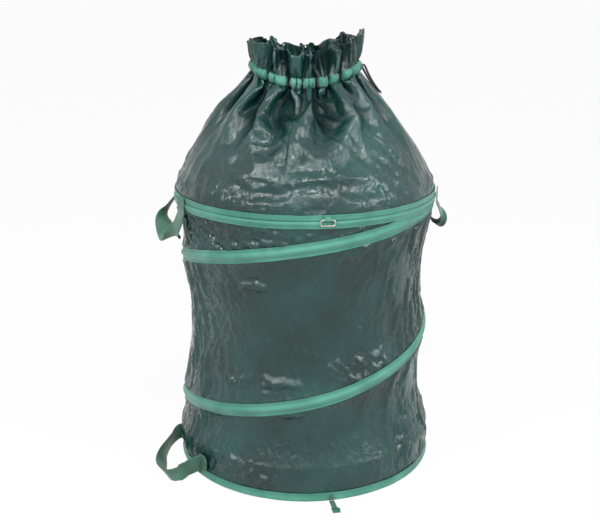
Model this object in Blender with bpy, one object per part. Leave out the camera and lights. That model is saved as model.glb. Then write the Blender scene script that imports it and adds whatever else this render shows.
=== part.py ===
"""Pop-up leaf bag: two wire hoops joined by one spring under a cloth wall, with a collar gathered by a cord.

Metres, +Z up. The origin is the middle of the base, on the ground. Azimuth 0 is the bag's right side,
-90 its front and 180 its left side.
"""

import math

import bmesh
import bpy
import numpy as np

# Clearances and materials' thicknesses
CLEARANCE = 0.0003
CLOTH = 0.0011
TAPE = 0.0009
WEBBING = 0.0016

# Hoops and their folded casings
HOOP_RADIUS = 0.2275
HOOP_SPACING = 0.485
WIRE_RADIUS = 0.0016
FERRULE_WALL = 0.0004
FERRULE_LENGTH = 0.024
WIRE_END_GAP = 0.0006
CHANNEL_RADIUS = 0.0035
TAPE_SLOPE_SHARE = 1.5
CASING_SHOULDER = 0.0040
BOTTOM_CASING_HEIGHT = 0.015
TOP_CASING_HEIGHT = 0.012
BINDING_HEIGHT = 0.010
HOOP_COLUMNS = 40
FERRULE_COLUMN = 10
FOLD_FLAT_SHARE = 0.45

# Spring: heights are shares of the hoop spacing at each quarter turn, going round to the left from the start
SPRING_START_DEG = -5.0
SPRING_TURNS = 1.875
SPRING_HEIGHT_SHARES = (1.0, 0.897, 0.759, 0.637, 0.507, 0.336, 0.206, 0.095, -0.02)
SPRING_DRAW_IN = 0.0115
SPRING_TAPE_WIDTH = 0.022
SPRING_TIP_HEIGHT = 0.004
SPRING_EASE_SHARES = (0.11, 0.27, 0.73, 0.84)

# Side wall
WALL_ROWS = 18
WALL_SAG_SHARE = 0.105
MOST_SAG = 0.016
STRAIGHT_WALL_HEIGHT = 0.058

# Collar: height share, then how much of the way from the neck's radius to the hoop's radius
COLLAR_SHARES = (
    (0.0, 1.0),
    (0.10, 0.955),
    (0.25, 0.845),
    (0.42, 0.69),
    (0.58, 0.53),
    (0.73, 0.37),
    (0.85, 0.185),
    (1.0, 0.0),
)
NECK_RISE = 0.2085
NECK_RADIUS = 0.0930
NECK_SAG = 0.020
NECK_COLUMNS = 64
PLEATS = 16
PLEAT_DEPTH = 0.0075
PLEAT_SWELL = 0.0065
PLEAT_START_SHARE = 0.30

# Gathered tape round the neck, with the cord in it
NECK_TAPE_WIDTH = 0.015
CORD_RADIUS = 0.0019
SLOT_FIRST_COLUMN = 1
SLOT_LAST_COLUMN = 4

# Frill above the neck: heights are shares of its height at each eighth turn, from the right side
FRILL_HEIGHT = 0.056
FRILL_HEIGHT_SHARES = (1.20, 0.98, 0.62, 0.86, 0.96, 1.04, 1.02, 1.06)
FRILL_ROWS = 4
FRILL_FLARE = 0.010
FRILL_RUFFLE = 0.012
FRILL_RUFFLES = 8

# Handles
STRAP_WIDTH = 0.030
PATCH_HEIGHT = 0.019
PATCH_CORNER = 0.004
TOP_HANDLE_HALF_DEG = 20.0
TWIST_SHARES = (0.50, 0.95)
LEFT_HANDLE_DEG = 186.5
LEFT_HANDLE_OUT = 0.028
LEFT_HANDLE_DROP = 0.068
LEFT_HANDLE_ROLL_DEG = 25.0
LEFT_HANDLE_LEAN_SHARE = 0.55
RIGHT_HANDLE_DEG = 12.0
RIGHT_HANDLE_OUT = 0.019
RIGHT_HANDLE_DROP = 0.058
RIGHT_HANDLE_ROLL_DEG = 50.0
RIGHT_HANDLE_LEAN_SHARE = 0.0
# From a sewn end to the middle: along the side, outward and down, as shares of the span, reach and drop
HANDLE_SHARES = (
    (1.0, 0.0, 0.0),
    (1.0, 0.03, 0.10),
    (0.97, 0.34, 0.32),
    (0.80, 0.76, 0.64),
    (0.42, 0.95, 0.92),
    (0.0, 1.0, 1.0),
)
BOTTOM_HANDLE_DEG = 201.0
BOTTOM_HANDLE_HALF_DEG = 17.0
BOTTOM_PATCH_CENTRE = 0.0275
BOTTOM_PATCH_CORNER = 0.011
BOTTOM_HANDLE_REACH = 0.0660
BOTTOM_HANDLE_LEAN_DEG = 38.0
GROUND_GAP = 0.0014
# From the front end to the rear: along the side, outward, downward and leaning, each as a share
BOTTOM_HANDLE_SHARES = (
    (1.0, 0.0095, 0.0, 0.0),
    (1.0, 0.10, 0.0, 0.0),
    (0.98, 0.24, 0.3, 0.0),
    (0.99, 0.43, 0.7, 0.1),
    (1.08, 0.70, 0.95, 0.3),
    (1.00, 0.92, 1.0, 0.7),
    (0.68, 1.0, 1.0, 0.9),
    (0.30, 0.95, 1.0, 1.0),
    (-0.10, 0.80, 1.0, 0.6),
    (-0.50, 0.58, 1.0, 0.0),
    (-0.82, 0.34, 0.6, -0.2),
    (-0.96, 0.13, 0.0, 0.0),
    (-1.0, 0.013, 0.0, 0.0),
)

# Wire ring in its tab on the top hoop
RING_DEG = -81.0
RING_WIDTH = 0.025
RING_HEIGHT = 0.0120
RING_WIRE_RADIUS = 0.0011
RING_CORNER = 0.0035
TAB_WIDTH = 0.010
TAB_LEG = 0.0070
TAB_SHOULDER_SHARE = 2.15
# The tab's fold round the ring's bar, from the bag's side outward, as shares of the channel's radius
TAB_BAR_SHARES = ((-1.0, 0.0), (-0.55, -1.15), (0.55, -1.15), (1.0, 0.0), (0.72, 0.88))

# Closing strap under the bottom hoop, with its hook
CLOSER_DEG = -78.5
CLOSER_WIDTH = 0.0095
CLOSER_LENGTH = 0.024
CLOSER_END_HEIGHT = 0.009
CLOSER_END_CORNER = 0.0015
HOOK_WIDTH = 0.0125
HOOK_LENGTH = 0.0145
HOOK_PLATE = 0.0022
HOOK_LIP = 0.0060
HOOK_RETURN = 0.0055
HOOK_EDGE = 0.0013
HOOK_ROOT = 0.0018

# The cord's bight outside the tunnel: azimuth in degrees, radius, height above the upper hoop
CORD_ROUTE = (
    (7.4, 0.1030, 0.2155),
    (8.6, 0.1085, 0.2050),
    (9.6, 0.1175, 0.1890),
    (11.2, 0.1290, 0.1735),
    (14.0, 0.1370, 0.1660),
    (16.8, 0.1290, 0.1735),
    (18.4, 0.1175, 0.1890),
    (19.4, 0.1085, 0.2050),
    (20.6, 0.1030, 0.2155),
)
CORD_STEPS = 2

# Heights that the sizes above give
BOTTOM_Z = BOTTOM_CASING_HEIGHT / 2
TOP_Z = BOTTOM_Z + HOOP_SPACING
BOTTOM_WIRE_Z = CHANNEL_RADIUS + TAPE / 2
TOP_WIRE_Z = TOP_Z - CLEARANCE / 2 - TAPE / 2 - CHANNEL_RADIUS
TOP_CASING_END = TOP_Z - TOP_CASING_HEIGHT
TOP_STRAIGHT_Z = TOP_CASING_END - 2 * TAPE
NECK_Z = TOP_Z + NECK_RISE
CASING_OUTER = HOOP_RADIUS + CHANNEL_RADIUS + TAPE / 2


def smooth(share):
    """0 to 1 with level ends, for a share that may lie outside."""
    share = min(max(share, 0.0), 1.0)
    return share * share * (3.0 - 2.0 * share)


def curve_value(values, place):
    """A smooth value through evenly spaced ones, where place counts in their steps."""
    last = len(values) - 1
    step = min(max(int(math.floor(place)), 0), last - 1)
    share = place - step
    before = values[step - 1] if step > 0 else 2.0 * values[0] - values[1]
    after = values[step + 2] if step + 2 <= last else 2.0 * values[last] - values[last - 1]
    here, there = values[step], values[step + 1]
    slope_here, slope_there = (there - before) / 2.0, (after - here) / 2.0
    square, cube = share * share, share**3
    return (
        here * (2.0 * cube - 3.0 * square + 1.0)
        + slope_here * (cube - 2.0 * square + share)
        + there * (3.0 * square - 2.0 * cube)
        + slope_there * (cube - square)
    )


def curve_through(points, steps):
    """Points on a smooth curve through the given ones, with so many steps between each two."""
    axes = np.array(points, float).T
    places = np.arange((len(points) - 1) * steps + 1) / steps
    return np.array([[curve_value(list(axis), place) for axis in axes] for place in places])


def polar(radius, degrees, height):
    angle = math.radians(degrees)
    return np.array((radius * math.cos(angle), radius * math.sin(angle), height))


def outward(degrees):
    return polar(1.0, degrees, 0.0)


def along(degrees):
    """The level direction round the bag, towards growing azimuth."""
    return polar(1.0, degrees + 90.0, 0.0)


UP = np.array((0.0, 0.0, 1.0))


def thicken(path, thickness):
    """The closed outline of a strip of even thickness about an open flat path."""
    path = np.array(path, float)
    runs = np.diff(path, axis=0)
    runs /= np.linalg.norm(runs, axis=1)[:, None]
    turned = np.column_stack((runs[:, 1], -runs[:, 0]))
    before, after = np.vstack((turned[:1], turned)), np.vstack((turned, turned[-1:]))
    middle = before + after
    middle /= np.linalg.norm(middle, axis=1)[:, None]
    offset = middle / np.sum(middle * before, axis=1)[:, None] * thickness / 2
    return np.vstack((path + offset, (path - offset)[::-1]))


def cloth_outline(path):
    """The outline of a sheet of cloth about an upright path of (radius, height), with level edges."""
    outline = thicken(path, CLOTH)
    outline[0, 1] = outline[-1, 1] = path[0][1]
    outline[len(path) - 1, 1] = outline[len(path), 1] = path[-1][1]
    return outline


def circle(radius, sides):
    """Level outline of a round bar, as pairs about its middle."""
    angles = [2.0 * math.pi * side / sides for side in range(sides)]
    return np.array([(radius * math.cos(a), radius * math.sin(a)) for a in angles])


def round_box(width, height, corner, steps):
    """Outline of a rectangle with round corners, as pairs about its middle."""
    points = []
    for quarter, (sx, sy) in enumerate(((1, 1), (-1, 1), (-1, -1), (1, -1))):
        middle_x, middle_y = sx * (width / 2 - corner), sy * (height / 2 - corner)
        for step in range(steps + 1):
            angle = math.pi / 2 * (quarter + step / steps)
            points.append((middle_x + corner * math.cos(angle), middle_y + corner * math.sin(angle)))
    return np.array(points)


MATERIALS = {
    "cloth": ((0.035, 0.115, 0.095), 0.35, 0.0),
    "tape": ((0.085, 0.330, 0.240), 0.55, 0.0),
    "webbing": ((0.060, 0.190, 0.135), 0.70, 0.0),
    "steel": ((0.42, 0.41, 0.40), 0.30, 1.0),
    "cord": ((0.015, 0.015, 0.017), 0.60, 0.0),
    "plastic": ((0.030, 0.120, 0.085), 0.40, 0.0),
}


def material(name, kind):
    colour, roughness, metallic = MATERIALS[kind]
    made = bpy.data.materials.new(name)
    made.use_nodes = True
    shader = made.node_tree.nodes["Principled BSDF"]
    shader.inputs["Base Color"].default_value = (*colour, 1.0)
    shader.inputs["Roughness"].default_value = roughness
    shader.inputs["Metallic"].default_value = metallic
    return made


def add_faces(shape, sections, closed):
    """Skins a run of closed outlines, each with the same count of points, and caps it where it ends."""
    rings = [[shape.verts.new(point) for point in section] for section in sections]
    pairs = list(zip(rings, rings[1:]))
    if closed:
        pairs.append((rings[-1], rings[0]))
    for ring, following in pairs:
        for side in range(len(ring)):
            there = (side + 1) % len(ring)
            shape.faces.new((ring[side], ring[there], following[there], following[side]))
    if not closed:
        shape.faces.new(rings[0])
        shape.faces.new(rings[-1][::-1])


def make(name, kind, bodies, carrier=None, sharp_deg=40.0):
    """One object from its closed bodies, each (sections, closed), placed about its carrier's origin."""
    shape = bmesh.new()
    for sections, closed in bodies:
        add_faces(shape, sections, closed)
    bmesh.ops.recalc_face_normals(shape, faces=shape.faces)
    if carrier is not None:
        bmesh.ops.translate(shape, verts=shape.verts, vec=-carrier.location)
    mesh = bpy.data.meshes.new(name)
    shape.to_mesh(mesh)
    shape.free()
    mesh.shade_smooth()
    mesh.set_sharp_from_angle(angle=math.radians(sharp_deg))
    mesh.materials.append(material(name + "_finish", kind))
    made = bpy.data.objects.new(name, mesh)
    bpy.context.scene.collection.objects.link(made)
    made.parent = carrier
    return made


def joint_origin(name, place):
    """An empty on a joint's axis, which carries the pieces that the joint moves."""
    empty = bpy.data.objects.new(name, None)
    empty.location = place
    bpy.context.scene.collection.objects.link(empty)
    bpy.context.view_layer.update()
    return empty


def spread(path, radius, degrees, height, sign=1.0):
    """A flat outline of pairs (out, up), set upright at an azimuth."""
    return [polar(radius + out, degrees, height + sign * up) for out, up in path]


def hoop_angles():
    return [360.0 * column / HOOP_COLUMNS for column in range(HOOP_COLUMNS)]


def folded_tape(grip, shoulder, leg, channel, tape):
    """A tape folded round a wire, its legs upward from the wire's middle: outline as pairs (out, up)."""
    half = [(grip, leg), (grip, shoulder), (channel, 0.0), (FOLD_FLAT_SHARE * channel, -channel)]
    return thicken(half + [(-out, up) for out, up in reversed(half)], tape)


def hoop_casing(wire_z, leg, sign):
    """The folded tape round a hoop, with the wall's edge between its legs."""
    grip = CLOTH / 2 + CLEARANCE + TAPE / 2
    outline = folded_tape(grip, CASING_SHOULDER, leg, CHANNEL_RADIUS, TAPE)
    return [spread(outline, HOOP_RADIUS, degrees, wire_z, sign) for degrees in hoop_angles()]


def hoop_wire(wire_z):
    """An open loop of wire whose two ends meet in the middle of a flat of the casing."""
    outline = circle(WIRE_RADIUS, 6)
    angles = hoop_angles()
    turned = angles[FERRULE_COLUMN + 1 :] + [a + 360.0 for a in angles[: FERRULE_COLUMN + 1]]
    sections = [spread(outline, HOOP_RADIUS, degrees, wire_z) for degrees in turned]
    middle = (np.array(sections[-1]) + np.array(sections[0])) / 2
    away = along(360.0 * (FERRULE_COLUMN + 0.5) / HOOP_COLUMNS) * WIRE_END_GAP / 2
    return [middle + away] + sections + [middle - away]


def hoop_ferrule(wire_z):
    """The crimped sleeve over the wire's two ends: a bored bar, as a closed run of outlines."""
    degrees = 360.0 * (FERRULE_COLUMN + 0.5) / HOOP_COLUMNS
    flat = HOOP_RADIUS * math.cos(math.pi / HOOP_COLUMNS)
    bore = WIRE_RADIUS + CLEARANCE
    sections = []
    for radius, side in ((bore, -1), (bore + FERRULE_WALL, -1), (bore + FERRULE_WALL, 1), (bore, 1)):
        outline = spread(circle(radius, 12), flat, degrees, wire_z)
        sections.append(np.array(outline) + along(degrees) * side * FERRULE_LENGTH / 2)
    return sections


def spring_turn(degrees):
    return (SPRING_START_DEG - degrees) / 360.0


def spring_height(turn):
    """Height of the spring's middle line above the ground."""
    return BOTTOM_Z + HOOP_SPACING * curve_value(SPRING_HEIGHT_SHARES, 4.0 * turn)


def spring_wall_radius(turn):
    """The wall's middle surface under the spring: the hoop's radius at both ends, drawn in between them."""
    first, in_full, out_from, last = (SPRING_TURNS * share for share in SPRING_EASE_SHARES)
    drawn = smooth((turn - first) / (in_full - first)) * smooth((last - turn) / (last - out_from))
    return HOOP_RADIUS - SPRING_DRAW_IN * drawn


def spring_columns():
    """Azimuth, middle height, low edge and high edge of the spring's tape at each of the wall's columns."""
    found = []
    lowest = BOTTOM_CASING_HEIGHT + CLEARANCE
    highest = TOP_CASING_END - CLEARANCE
    for column in range(int(HOOP_COLUMNS * (SPRING_TURNS + 0.5))):
        degrees = -360.0 * column / HOOP_COLUMNS
        turn = spring_turn(degrees)
        if not 0.0 <= turn <= SPRING_TURNS:
            continue
        middle = spring_height(turn)
        low = max(middle - SPRING_TAPE_WIDTH / 2, lowest)
        high = min(middle + SPRING_TAPE_WIDTH / 2, highest)
        if high - low >= SPRING_TIP_HEIGHT:
            found.append((degrees, middle, low, high))
    return found


def full_width(column):
    return column[3] - column[2] > SPRING_TAPE_WIDTH - CLEARANCE


def tape_over_cord(width, radius, bulge):
    """A tape sewn down along both edges with a wire or cord under it: its middle line, as pairs (out, up)."""
    slope = TAPE_SLOPE_SHARE * radius
    lay = CLEARANCE + TAPE / 2
    top = radius + CLEARANCE
    foot = top + slope
    rise = lay + bulge * (2.0 * radius + CLEARANCE)
    half = [(lay, width / 2), (lay, foot), (rise, top)]
    return half + [(out, -up) for out, up in reversed(half)]


def spring_casing():
    columns = spring_columns()
    sections = []
    for number, (degrees, middle, low, high) in enumerate(columns):
        near = columns[max(number - 1, 0) : number + 2]
        covers = any(full_width(column) for column in near)
        share = (high - low) / SPRING_TAPE_WIDTH
        path = np.array(tape_over_cord(SPRING_TAPE_WIDTH, WIRE_RADIUS, 1.0 if covers else 0.0))
        path[:, 1] *= share
        surface = spring_wall_radius(spring_turn(degrees)) + CLOTH / 2
        sections.append(spread(thicken(path, TAPE), surface, degrees, (low + high) / 2))
    return sections


def spring_wire():
    outline = circle(WIRE_RADIUS, 6)
    sections = []
    for degrees, middle, _, _ in filter(full_width, spring_columns()):
        surface = spring_wall_radius(spring_turn(degrees)) + CLOTH / 2
        sections.append(spread(outline, surface + CLEARANCE + WIRE_RADIUS, degrees, middle))
    return sections


def least_turn_gap():
    """The smallest clear height between two turns of the spring's wire."""
    heights = [middle for _, middle, _, _ in filter(full_width, spring_columns())]
    apart = [high - low for high, low in zip(heights, heights[HOOP_COLUMNS:])]
    return min(apart) - 2.0 * WIRE_RADIUS


def wall_radius(degrees, height):
    """The wall's middle surface: straight at the hoops and under the spring, drawn in between."""
    stops = [(BOTTOM_CASING_HEIGHT, STRAIGHT_WALL_HEIGHT, HOOP_RADIUS)]
    bands = []
    for lap in range(int(SPRING_TURNS) + 1):
        turn = spring_turn(degrees) % 1.0 + lap
        if turn <= SPRING_TURNS:
            middle = spring_height(turn)
            low, high = middle - SPRING_TAPE_WIDTH / 2, middle + SPRING_TAPE_WIDTH / 2
            bands.append((low, min(high, TOP_STRAIGHT_Z), spring_wall_radius(turn)))
    stops += sorted(band for band in bands if band[1] > STRAIGHT_WALL_HEIGHT)
    stops.append((TOP_STRAIGHT_Z, TOP_Z, HOOP_RADIUS))
    for (_, start, here), (end, top, there) in zip(stops, stops[1:]):
        if height <= start:
            return here
        if height < end:
            share = (height - start) / (end - start)
            sag = min(WALL_SAG_SHARE * (end - start), MOST_SAG)
            return here + (there - here) * smooth(share) - sag * 4.0 * share * (1.0 - share)
        if height <= top:
            return there
    return HOOP_RADIUS


def side_wall():
    low, high = BOTTOM_WIRE_Z + CASING_SHOULDER, TOP_WIRE_Z - CASING_SHOULDER
    inner_low, inner_high = BOTTOM_CASING_HEIGHT + TAPE, TOP_STRAIGHT_Z
    heights = [low] + [inner_low + (inner_high - inner_low) * row / WALL_ROWS for row in range(WALL_ROWS + 1)]
    heights.append(high)
    sections = []
    for degrees in hoop_angles():
        path = [(wall_radius(degrees, height), height) for height in heights]
        sections.append(spread(cloth_outline(path), 0.0, degrees, 0.0))
    return sections


def base_panel():
    """The round floor of the bag, a hair inside the bottom casing's leaning side."""
    lean = 1.0 - FOLD_FLAT_SHARE
    casing = FOLD_FLAT_SHARE * CHANNEL_RADIUS + lean * (CLOTH - TAPE / 2) + TAPE / 2 * math.hypot(1.0, lean)
    radius = HOOP_RADIUS - casing - CLEARANCE
    return [[polar(radius, degrees, height) for degrees in hoop_angles()] for height in (0.0, CLOTH)]


def collar_binding():
    """The tape folded up round the collar's lower edge, on top of the hoop's casing."""
    grip = CLOTH / 2 + CLEARANCE + TAPE / 2
    bottom = TOP_Z + CLEARANCE / 2 + TAPE / 2
    leg = TOP_Z + BINDING_HEIGHT - bottom
    outline = thicken([(grip, leg), (grip, 0.0), (-grip, 0.0), (-grip, leg)], TAPE)
    return [spread(outline, HOOP_RADIUS, degrees, bottom) for degrees in neck_angles()]


def neck_angles():
    return [360.0 * column / NECK_COLUMNS for column in range(NECK_COLUMNS)]


def neck_height(degrees):
    """Height of the neck's tape: level at the sides and back, hanging a little at the front."""
    front = max(-math.sin(math.radians(degrees)), 0.0)
    return NECK_Z - NECK_SAG * front * front


def pleat(degrees, folds=PLEATS):
    """0 on a fold's crest and 1 in its valley."""
    return (1.0 - math.cos(math.radians(degrees * folds))) / 2


def neck_radius(degrees):
    return NECK_RADIUS - PLEAT_DEPTH * pleat(degrees)


def collar():
    low = TOP_Z + CLEARANCE / 2 + TAPE + CLEARANCE
    straight = TOP_Z + BINDING_HEIGHT + CLEARANCE
    sections = []
    for degrees in neck_angles():
        high = neck_height(degrees) - CLEARANCE
        path = [(HOOP_RADIUS, low)]
        for rise_share, out_share in COLLAR_SHARES:
            share = max(rise_share - PLEAT_START_SHARE, 0.0) / (1.0 - PLEAT_START_SHARE)
            depth = PLEAT_DEPTH * smooth(share) + PLEAT_SWELL * math.sin(math.pi * share)
            radius = NECK_RADIUS + (HOOP_RADIUS - NECK_RADIUS) * out_share - depth * pleat(degrees)
            path.append((radius, straight + (high - straight) * rise_share))
        sections.append(spread(cloth_outline(path), 0.0, degrees, 0.0))
    return sections


def frill():
    sections = []
    for degrees in neck_angles():
        low = neck_height(degrees)
        height = FRILL_HEIGHT * curve_value(FRILL_HEIGHT_SHARES + FRILL_HEIGHT_SHARES[:1], degrees / 45.0)
        path = [(neck_radius(degrees), low)]
        for row in range(1, FRILL_ROWS + 1):
            straight = NECK_TAPE_WIDTH + CLEARANCE
            share = (row - 1) / (FRILL_ROWS - 1)
            deep = (1.0 - share) * PLEAT_DEPTH * pleat(degrees)
            deep += share * FRILL_RUFFLE * pleat(degrees, FRILL_RUFFLES)
            radius = NECK_RADIUS + FRILL_FLARE * share - deep
            path.append((radius, low + straight + (height - straight) * share))
        sections.append(spread(cloth_outline(path), 0.0, degrees, 0.0))
    return sections


def tunnel_angles():
    """Round the neck from one end of the cord's slot to the other."""
    count = NECK_COLUMNS - (SLOT_LAST_COLUMN - SLOT_FIRST_COLUMN)
    return [360.0 * (SLOT_LAST_COLUMN + column) / NECK_COLUMNS for column in range(count + 1)]


def tunnel_surface(degrees):
    return neck_radius(degrees) + CLOTH / 2


def neck_channel():
    outline = thicken(tape_over_cord(NECK_TAPE_WIDTH, CORD_RADIUS, 1.0), TAPE)
    return [
        spread(outline, tunnel_surface(degrees), degrees, neck_height(degrees) + NECK_TAPE_WIDTH / 2)
        for degrees in tunnel_angles()
    ]


def cord_middle(degrees):
    radius = tunnel_surface(degrees) + CLEARANCE + CORD_RADIUS
    return polar(radius, degrees, neck_height(degrees) + NECK_TAPE_WIDTH / 2)


def drawstring():
    outline = circle(CORD_RADIUS, 6)
    middle = NECK_TAPE_WIDTH / 2
    return [
        spread(outline, tunnel_surface(a) + CLEARANCE + CORD_RADIUS, a, neck_height(a) + middle)
        for a in tunnel_angles()
    ]


def drawstring_loop():
    """The cord's bight outside the slot: a bevelled curve from one end of the tunnel to the other."""
    first, last = SLOT_FIRST_COLUMN * 360.0 / NECK_COLUMNS, SLOT_LAST_COLUMN * 360.0 / NECK_COLUMNS
    start = cord_middle(first) + along(first) * CLEARANCE
    end = cord_middle(last) - along(last) * CLEARANCE
    leads = (0.0, CORD_RADIUS, 2.0 * CORD_RADIUS)
    route = [start + along(first) * lead for lead in leads]
    route += [polar(radius, degrees, TOP_Z + height) for degrees, radius, height in CORD_ROUTE]
    route += [end - along(last) * lead for lead in reversed(leads)]
    points = curve_through(route, CORD_STEPS)
    curve = bpy.data.curves.new("drawstring_loop", "CURVE")
    curve.dimensions = "3D"
    curve.bevel_depth = CORD_RADIUS
    curve.bevel_resolution = 2
    curve.use_fill_caps = True
    spline = curve.splines.new("POLY")
    spline.points.add(len(points) - 1)
    for point, place in zip(spline.points, points):
        point.co = (*place, 1.0)
    curve.materials.append(material("drawstring_loop_finish", "cord"))
    made = bpy.data.objects.new("drawstring_loop", curve)
    bpy.context.scene.collection.objects.link(made)
    return made


def strap(stations, width, thickness):
    """A flat strap through stations of (middle, width's direction). Its two ends are cut along that direction."""
    middles = np.array([middle for middle, _ in stations])
    runs = np.gradient(middles, axis=0)
    for end in (0, -1):
        runs[end] -= stations[end][1] * np.dot(runs[end], stations[end][1])
    sections = []
    for (middle, across), run in zip(stations, runs):
        run = run / np.linalg.norm(run)
        across = across - run * np.dot(across, run)
        across = across / np.linalg.norm(across)
        face = np.cross(run, across)
        corners = ((1, 1), (-1, 1), (-1, -1), (1, -1))
        sections.append(
            [middle + across * width / 2 * i + face * thickness / 2 * j for i, j in corners]
        )
    return sections


def top_handle(centre_deg, out, drop, roll_deg, lean_share):
    """A strap hung from two patches on the hoop. Its arms hang flat and it turns over at the bottom."""
    away, side = outward(centre_deg), along(centre_deg)
    reach = CASING_OUTER + CLEARANCE + WEBBING / 2
    half_span = reach * math.sin(math.radians(TOP_HANDLE_HALF_DEG))
    hang = reach * math.cos(math.radians(TOP_HANDLE_HALF_DEG))
    shares = [(-s, o, d) for s, o, d in HANDLE_SHARES] + list(reversed(HANDLE_SHARES))[1:]
    route = []
    for s, o, d in shares:
        stand_off = out * o * (1.0 - lean_share * s)
        route.append(away * (hang + stand_off) + side * half_span * s + UP * (handle_top() - drop * d))
    middles = curve_through(route, 4)
    roll = math.radians(roll_deg)
    leaning = away * math.cos(roll) - UP * math.sin(roll)
    stations = []
    last = len(middles) - 1
    for number, middle in enumerate(middles):
        place = 2.0 * number / last - 1.0
        begin, end = TWIST_SHARES
        turned = smooth((1.0 - abs(place) - begin) / (end - begin))
        flat = along(centre_deg + math.copysign(TOP_HANDLE_HALF_DEG, place)) * math.copysign(1.0, -place)
        stations.append((middle, flat * (1.0 - turned) + leaning * turned))
    return strap(stations, STRAP_WIDTH, WEBBING)


def top_handle_place(centre_deg):
    """The middle of the line that a top handle turns about, through its patches' nearest outer corners."""
    half = math.radians(TOP_HANDLE_HALF_DEG)
    corners = (CASING_OUTER + CLEARANCE + WEBBING) * math.cos(half) + STRAP_WIDTH / 2 * math.sin(half)
    return outward(centre_deg) * corners + UP * (handle_top() + CLEARANCE / 2)


def handle_top():
    """Height where a top handle starts, just under its patches."""
    return TOP_Z + BINDING_HEIGHT - PATCH_HEIGHT - CLEARANCE


def plate(centre_deg, radius, middle_z, width, height, corner, thickness):
    """A flat plate of cloth that faces out at an azimuth, with round corners."""
    outline = round_box(width, height, corner, 3)
    away, side = outward(centre_deg), along(centre_deg)
    return [
        [away * (radius + depth) + side * x + UP * (middle_z + z) for x, z in outline]
        for depth in (0.0, thickness)
    ]


def top_patch(degrees):
    """A handle's sewn end on the outside of the upper hoop."""
    middle = TOP_Z + BINDING_HEIGHT - PATCH_HEIGHT / 2
    radius = CASING_OUTER + CLEARANCE
    return plate(degrees, radius, middle, STRAP_WIDTH, PATCH_HEIGHT, PATCH_CORNER, WEBBING)


def bottom_patch_radius():
    leg = HOOP_RADIUS + CLOTH / 2 + CLEARANCE + TAPE
    return leg + CLEARANCE


def bottom_patch(degrees):
    """The bottom handle's sewn end, over the upper edge of the lower casing."""
    radius = bottom_patch_radius()
    return plate(degrees, radius, BOTTOM_PATCH_CENTRE, STRAP_WIDTH, STRAP_WIDTH, BOTTOM_PATCH_CORNER, WEBBING)


def bottom_handle_place():
    """The middle of the line that the bottom handle turns about, along the tops of its two sewn ends."""
    seat = (bottom_patch_radius() + WEBBING) * math.cos(math.radians(BOTTOM_HANDLE_HALF_DEG))
    return outward(BOTTOM_HANDLE_DEG) * seat + UP * (BOTTOM_PATCH_CENTRE + STRAP_WIDTH / 2)


def bottom_handle():
    """A strap that stands on its edge on the ground, out from two patches low on the wall."""
    away, side = outward(BOTTOM_HANDLE_DEG), along(BOTTOM_HANDLE_DEG)
    half_span = (bottom_patch_radius() + WEBBING) * math.sin(math.radians(BOTTOM_HANDLE_HALF_DEG))
    lowest = GROUND_GAP + STRAP_WIDTH / 2
    route, leans = [], []
    for s, out, down, lean in BOTTOM_HANDLE_SHARES:
        leant = math.radians(BOTTOM_HANDLE_LEAN_DEG * lean)
        height = BOTTOM_PATCH_CENTRE + (lowest - BOTTOM_PATCH_CENTRE) * down
        height -= STRAP_WIDTH / 2 * (1.0 - math.cos(leant))
        flat = bottom_handle_place() + side * half_span * s + away * BOTTOM_HANDLE_REACH * out
        route.append((flat[0], flat[1], height))
        leans.append((leant,))
    middles, leans = curve_through(route, 3), curve_through(leans, 3)[:, 0]
    runs = np.gradient(middles, axis=0)
    stations = []
    for middle, run, leant in zip(middles, runs, leans):
        outer = np.array((run[1], -run[0], 0.0))
        outer *= math.copysign(1.0, np.dot(outer, middle * (1.0, 1.0, 0.0))) / np.linalg.norm(outer)
        stations.append((middle, UP * math.cos(leant) + outer * math.sin(leant)))
    return strap(stations, STRAP_WIDTH, WEBBING)


def tab_place():
    """The middle of the wire ring's upper bar."""
    return polar(CASING_OUTER + CLEARANCE + RING_WIRE_RADIUS, RING_DEG, TOP_Z + BINDING_HEIGHT - TAB_LEG)


def closing_ring_tab():
    """A short tape folded round the ring's upper bar, its legs set back against the binding."""
    away, side, middle = outward(RING_DEG), along(RING_DEG), tab_place()
    channel = RING_WIRE_RADIUS + CLEARANCE + TAPE / 2
    binding = HOOP_RADIUS + CLOTH / 2 + CLEARANCE + TAPE
    inner = binding + CLEARANCE + TAPE / 2 - np.dot(middle, away)
    outer = inner + TAPE + CLEARANCE
    bar = [(out * channel, up * channel) for out, up in TAB_BAR_SHARES]
    shoulder = TAB_SHOULDER_SHARE * channel
    outline = thicken([(inner, TAB_LEG), (inner, shoulder), *bar, (outer, shoulder), (outer, TAB_LEG)], TAPE)
    return [
        [middle + away * out + UP * up + side * TAB_WIDTH / 2 * end for out, up in outline] for end in (-1, 1)
    ]


def closing_ring():
    """A rectangle of wire with round corners, hung by its upper bar."""
    away, side, top = outward(RING_DEG), along(RING_DEG), tab_place()
    middle = top - UP * (RING_HEIGHT / 2 - RING_WIRE_RADIUS)
    path = round_box(RING_WIDTH - 2.0 * RING_WIRE_RADIUS, RING_HEIGHT - 2.0 * RING_WIRE_RADIUS, RING_CORNER, 3)
    outline = circle(RING_WIRE_RADIUS, 6)
    centres = [size / 2 - RING_WIRE_RADIUS - RING_CORNER for size in (RING_WIDTH, RING_HEIGHT)]
    sections = []
    for x, z in path:
        from_corner = np.array((x - math.copysign(centres[0], x), z - math.copysign(centres[1], z)))
        from_corner /= np.linalg.norm(from_corner)
        spoke = side * from_corner[0] + UP * from_corner[1]
        sections.append([middle + side * x + UP * z + spoke * a + away * b for a, b in outline])
    return sections


def closer_place():
    """Where the closing strap turns at the bottom casing, along the upper edge of its end."""
    return polar(CASING_OUTER + CLEARANCE + TAPE, CLOSER_DEG, CLEARANCE + WEBBING)


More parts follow.
